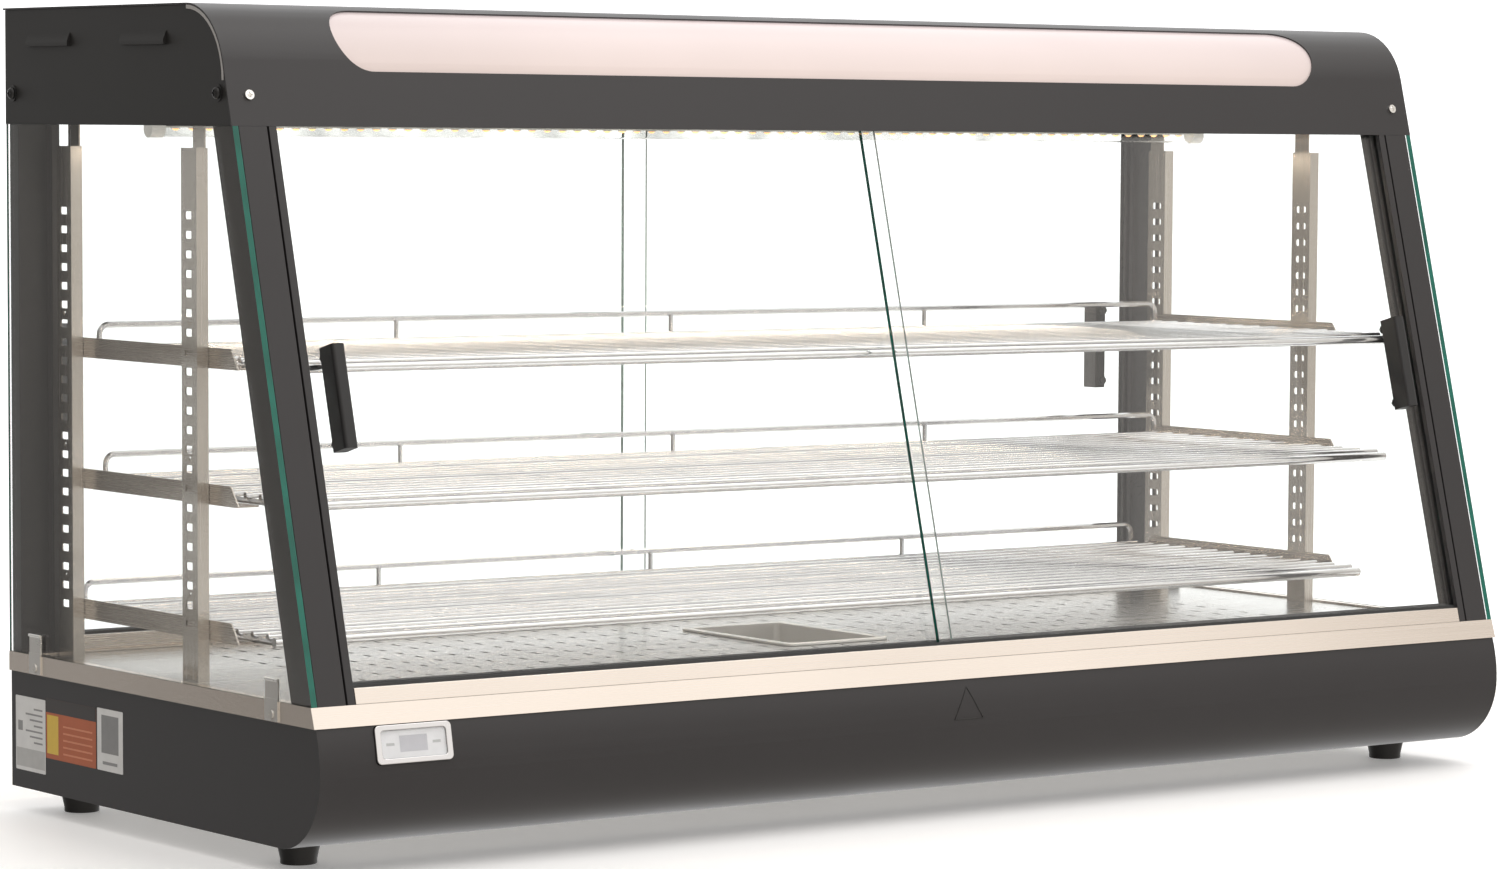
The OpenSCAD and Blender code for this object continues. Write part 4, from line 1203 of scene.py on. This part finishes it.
@dataclass
class Fasteners:
    """Bright and black screws with domed, cross-recessed heads."""

    face_x: float = 580.0
    face_z: float = 576.5
    end_x: float = 598.6
    end_y: tuple[float, float] = (-103.95, 227.3)
    end_z: float = 578.0

    def build(self) -> None:
        """Dresses the screws' own parts and sets domed heads over them."""
        dress_nodes(BOLT_STEEL, "steel_screws")
        dress_nodes(BLACK_STEEL, "black_screws")
        face_y = SIZES.plane(self.face_z)
        bright = [((x, face_y, self.face_z), LEAN_FACE) for x in (-self.face_x, self.face_x)]
        black = [((side * self.end_x, y, self.end_z), (side, 0.0, 0.0))
                 for side in (-1.0, 1.0) for y in self.end_y]
        self.heads("bright_heads", bright, 7.4, 2.4, BOLT_STEEL)
        self.heads("black_heads", black, 9.4, 2.6, BLACK_STEEL)

    def heads(self, name: str, places: list[tuple[Point, Point]], width: float, rise: float,
              finish: Finish) -> None:
        """Sets one kind of screw head at its places.

        Args:
            name: Name of the set.
            places: Middle and facing of each head.
            width: Diameter of a head in millimetres.
            rise: Height of a head in millimetres.
            finish: Finish of the heads.
        """
        host = bpy.data.meshes.new(name + "_places")
        host.from_pydata([tuple(v * MM for v in middle) for middle, _ in places], [], [])
        facing = host.attributes.new("facing", "FLOAT_VECTOR", "POINT")
        facing.data.foreach_set("vector", [v for _, way in places for v in way])
        template = screw_head(name + "_template", width, rise)
        mesh = screw_set(template, finish.material()).bake(name, {"Head Scale": (1.0, 1.0, 1.0)}, host)
        bpy.data.objects.remove(template)
        extra(put(name, mesh), "case")


@dataclass
class Controls:
    """Front display, and the knob, switches and inlet on the back."""

    show_x: float = -515.0
    show_z: float = 98.5
    tilt: float = 11.2152
    face_w: float = 55.6
    face_h: float = 20.6
    face_r: float = 2.3

    def build(self) -> None:
        """Dresses the controls and adds the display's face."""
        eased_copy("display_bezel", "case", CHROME, 0.5, 3)
        self.display_face()
        eased_copy("temp_knob", "knob", BLACK_PLASTIC, 0.6)
        dress_nodes(CREAM, "thermostat")
        for node in ("switch_frames", "power_inlet"):
            eased_copy(node, "case", BLACK_PLASTIC, 0.3)
        dress_nodes(RED, "power_rocker", "light_rocker")

    def display_face(self) -> None:
        """Remakes the display's lens as a white face under a thin clear cover."""
        tilt = math.radians(self.tilt)
        show_y = SIZES.nose_y + SIZES.nose_upper_r * (1 - math.cos(tilt))
        turn = Matrix.Rotation(-tilt, 4, "X") @ Matrix.Rotation(math.pi / 2, 4, "X")
        at = Matrix.Translation((self.show_x * MM, show_y * MM, self.show_z * MM)) @ turn
        face = rounded_plate("display_face", self.face_w, self.face_h, 0.3, self.face_r,
                             at @ Matrix.Translation((0, 0, -0.5 * MM)))
        x, z = self.show_x * MM, self.show_z * MM
        window = Patch((x - 0.012, z - 0.006), (x + 0.012, z + 0.006), (0.62, 0.61, 0.66))
        lines = [Patch((x + side - 0.0035, z - 0.001), (x + side + 0.0035, z + 0.001), (0.55, 0.55, 0.56))
                 for side in (-0.020, 0.020)]
        dress(face, Sticker("display_face_film", "white_plastic", (0.90, 0.89, 0.92), Axis.X,
                            (window, *lines)))
        cover = rounded_plate("display_cover", self.face_w, self.face_h, 1.0, self.face_r,
                              at @ Matrix.Translation((0, 0, -0.1 * MM)))
        dress(cover, LENS_GLASS)
        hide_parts("display_lens")
        extra(face, "case")
        extra(cover, "case")


# ---------------------------------------------------------------- studio


@dataclass(frozen=True)
class Softbox:
    """One soft studio lamp."""

    name: str
    place: Point
    target: Point
    size: tuple[float, float]
    power: float
    colour: Colour = (1.0, 1.0, 1.0)

    def build(self) -> None:
        """Adds the lamp to the scene."""
        lamp = bpy.data.lights.new(self.name, "AREA")
        lamp.shape = "RECTANGLE"
        lamp.size, lamp.size_y = self.size
        lamp.energy = self.power
        lamp.color = self.colour
        holder = bpy.data.objects.new(self.name, lamp)
        holder.location = self.place
        direction = Vector(self.target) - Vector(self.place)
        holder.rotation_euler = direction.to_track_quat("-Z", "Y").to_euler()
        bpy.context.scene.collection.objects.link(holder)


@dataclass
class Studio:
    """Pale floor, soft light and the main camera. The lamp's warm light is one of the softboxes."""

    place: Point = (-2.41746, -3.34386, 0.55383)
    yaw: float = 37.8479
    pitch: float = 4.3696
    roll: float = 0.4617
    lens: float = 117.703
    shift: tuple[float, float] = (-0.13447, 0.04770)
    floor_radius: float = 1.3
    softboxes: tuple[Softbox, ...] = (
        Softbox("top_softbox", (0.3, -0.9, 2.2), (0.1, 0.0, 0.4), (3.0, 2.0), 20.0),
        Softbox("front_softbox", (1.2, -2.8, 1.7), (0.2, 0.0, 0.3), (3.0, 2.2), 9.0),
        Softbox("case_lamp", (0.0, 0.100, 0.538), (0.0, 0.100, 0.0), (1.05, 0.012), 1.6, (1.0, 0.84, 0.66)))

    def build(self) -> None:
        """Builds the floor, the surroundings, the lamps and the camera."""
        self.floor()
        self.surroundings()
        for softbox in self.softboxes:
            softbox.build()
        self.camera()
        bpy.context.scene.view_settings.view_transform = "Standard"

    def floor(self) -> None:
        """Adds a plain pale round floor."""
        mesh = bpy.data.meshes.new("floor")
        shape = bmesh.new()
        bmesh.ops.create_circle(shape, cap_ends=True, segments=96, radius=self.floor_radius)
        shape.to_mesh(mesh)
        shape.free()
        sheet = put("floor", mesh)
        material, graph, surface = fresh_material("pale_floor")
        shade = graph.span(noise(graph, object_place(graph), 0.8), 0.3, 0.7, 0.90, 0.92)
        colour = graph.node("ShaderNodeCombineColor", {0: shade, 1: shade, 2: shade}).outputs[0]
        shader = graph.node("ShaderNodeBsdfPrincipled", {
            "Base Color": colour, "Roughness": 0.6, "Emission Color": colour, "Emission Strength": 0.22})
        graph.feed(surface, shader.outputs[0])
        mesh.materials.append(material)
        sheet.visible_glossy = False

    def surroundings(self) -> None:
        """Lights the studio: bright behind and above the case, greyer behind the camera."""
        world = bpy.data.worlds.new("studio")
        bpy.context.scene.world = world
        world.use_nodes = True
        world.node_tree.nodes.clear()
        graph = Graph(world.node_tree)
        way = graph.node("ShaderNodeTexCoord").outputs["Generated"]
        forward, leftward = (
            graph.node("ShaderNodeVectorMath", {0: way, 1: axis}, operation="DOT_PRODUCT").outputs["Value"]
            for axis in ((0.61, 0.79, 0.0), (-0.88, 0.47, 0.0)))
        up = graph.node("ShaderNodeSeparateXYZ", {0: way}).outputs[2]
        ahead = graph.span(forward, 0.40, 0.85, 0.0, 1.0)
        left = graph.span(leftward, 0.15, 0.62, 1.0, 0.30)
        above = graph.span(up, 0.30, 0.85, 0.0, 0.45)
        rear = graph.maths("MULTIPLY", graph.maths("SUBTRACT", 1.0, ahead), left)
        ahead = graph.maths("ADD", graph.maths("MULTIPLY", ahead, 1.5), above)
        parts = [graph.maths("MINIMUM", graph.maths("ADD", graph.maths("MULTIPLY", rear, tone), ahead), 1.5)
                 for tone in (0.66, 0.61, 0.56)]
        colour = graph.node("ShaderNodeCombineColor", {0: parts[0], 1: parts[1], 2: parts[2]}).outputs[0]
        light = graph.node("ShaderNodeBackground", {"Color": colour, "Strength": 1.0})
        graph.feed(graph.node("ShaderNodeOutputWorld").inputs["Surface"], light.outputs[0])

    def camera(self) -> None:
        """Adds the main camera."""
        data = bpy.data.cameras.new("main_camera")
        data.lens, data.sensor_width = self.lens, 36.0
        data.shift_x, data.shift_y = self.shift
        data.clip_start, data.clip_end = 0.1, 100.0
        holder = bpy.data.objects.new("main_camera", data)
        yaw, pitch, roll = (math.radians(v) for v in (self.yaw, self.pitch, self.roll))
        ahead = Vector((math.sin(yaw) * math.cos(pitch), math.cos(yaw) * math.cos(pitch), -math.sin(pitch)))
        level = Vector((math.cos(yaw), -math.sin(yaw), 0.0))
        upright = level.cross(ahead)
        right = math.cos(roll) * level + math.sin(roll) * upright
        upward = -math.sin(roll) * level + math.cos(roll) * upright
        turn = Matrix((right, upward, -ahead)).transposed().to_4x4()
        holder.matrix_world = Matrix.Translation(self.place) @ turn
        bpy.context.scene.collection.objects.link(holder)
        bpy.context.scene.camera = holder


def main() -> None:
    """Builds the whole case and its studio."""
    logging.basicConfig(level=logging.INFO, format="%(name)s: %(message)s")
    for part in (BaseHousing(), Worktop(), Heating(), Glazing(), Doors(), Canopy(), Lamp(),
                 Shelving(), Fasteners(), Controls(), Studio()):
        log.info("building %s", type(part).__name__)
        part.build()


if __name__ == "__main__":
    main()
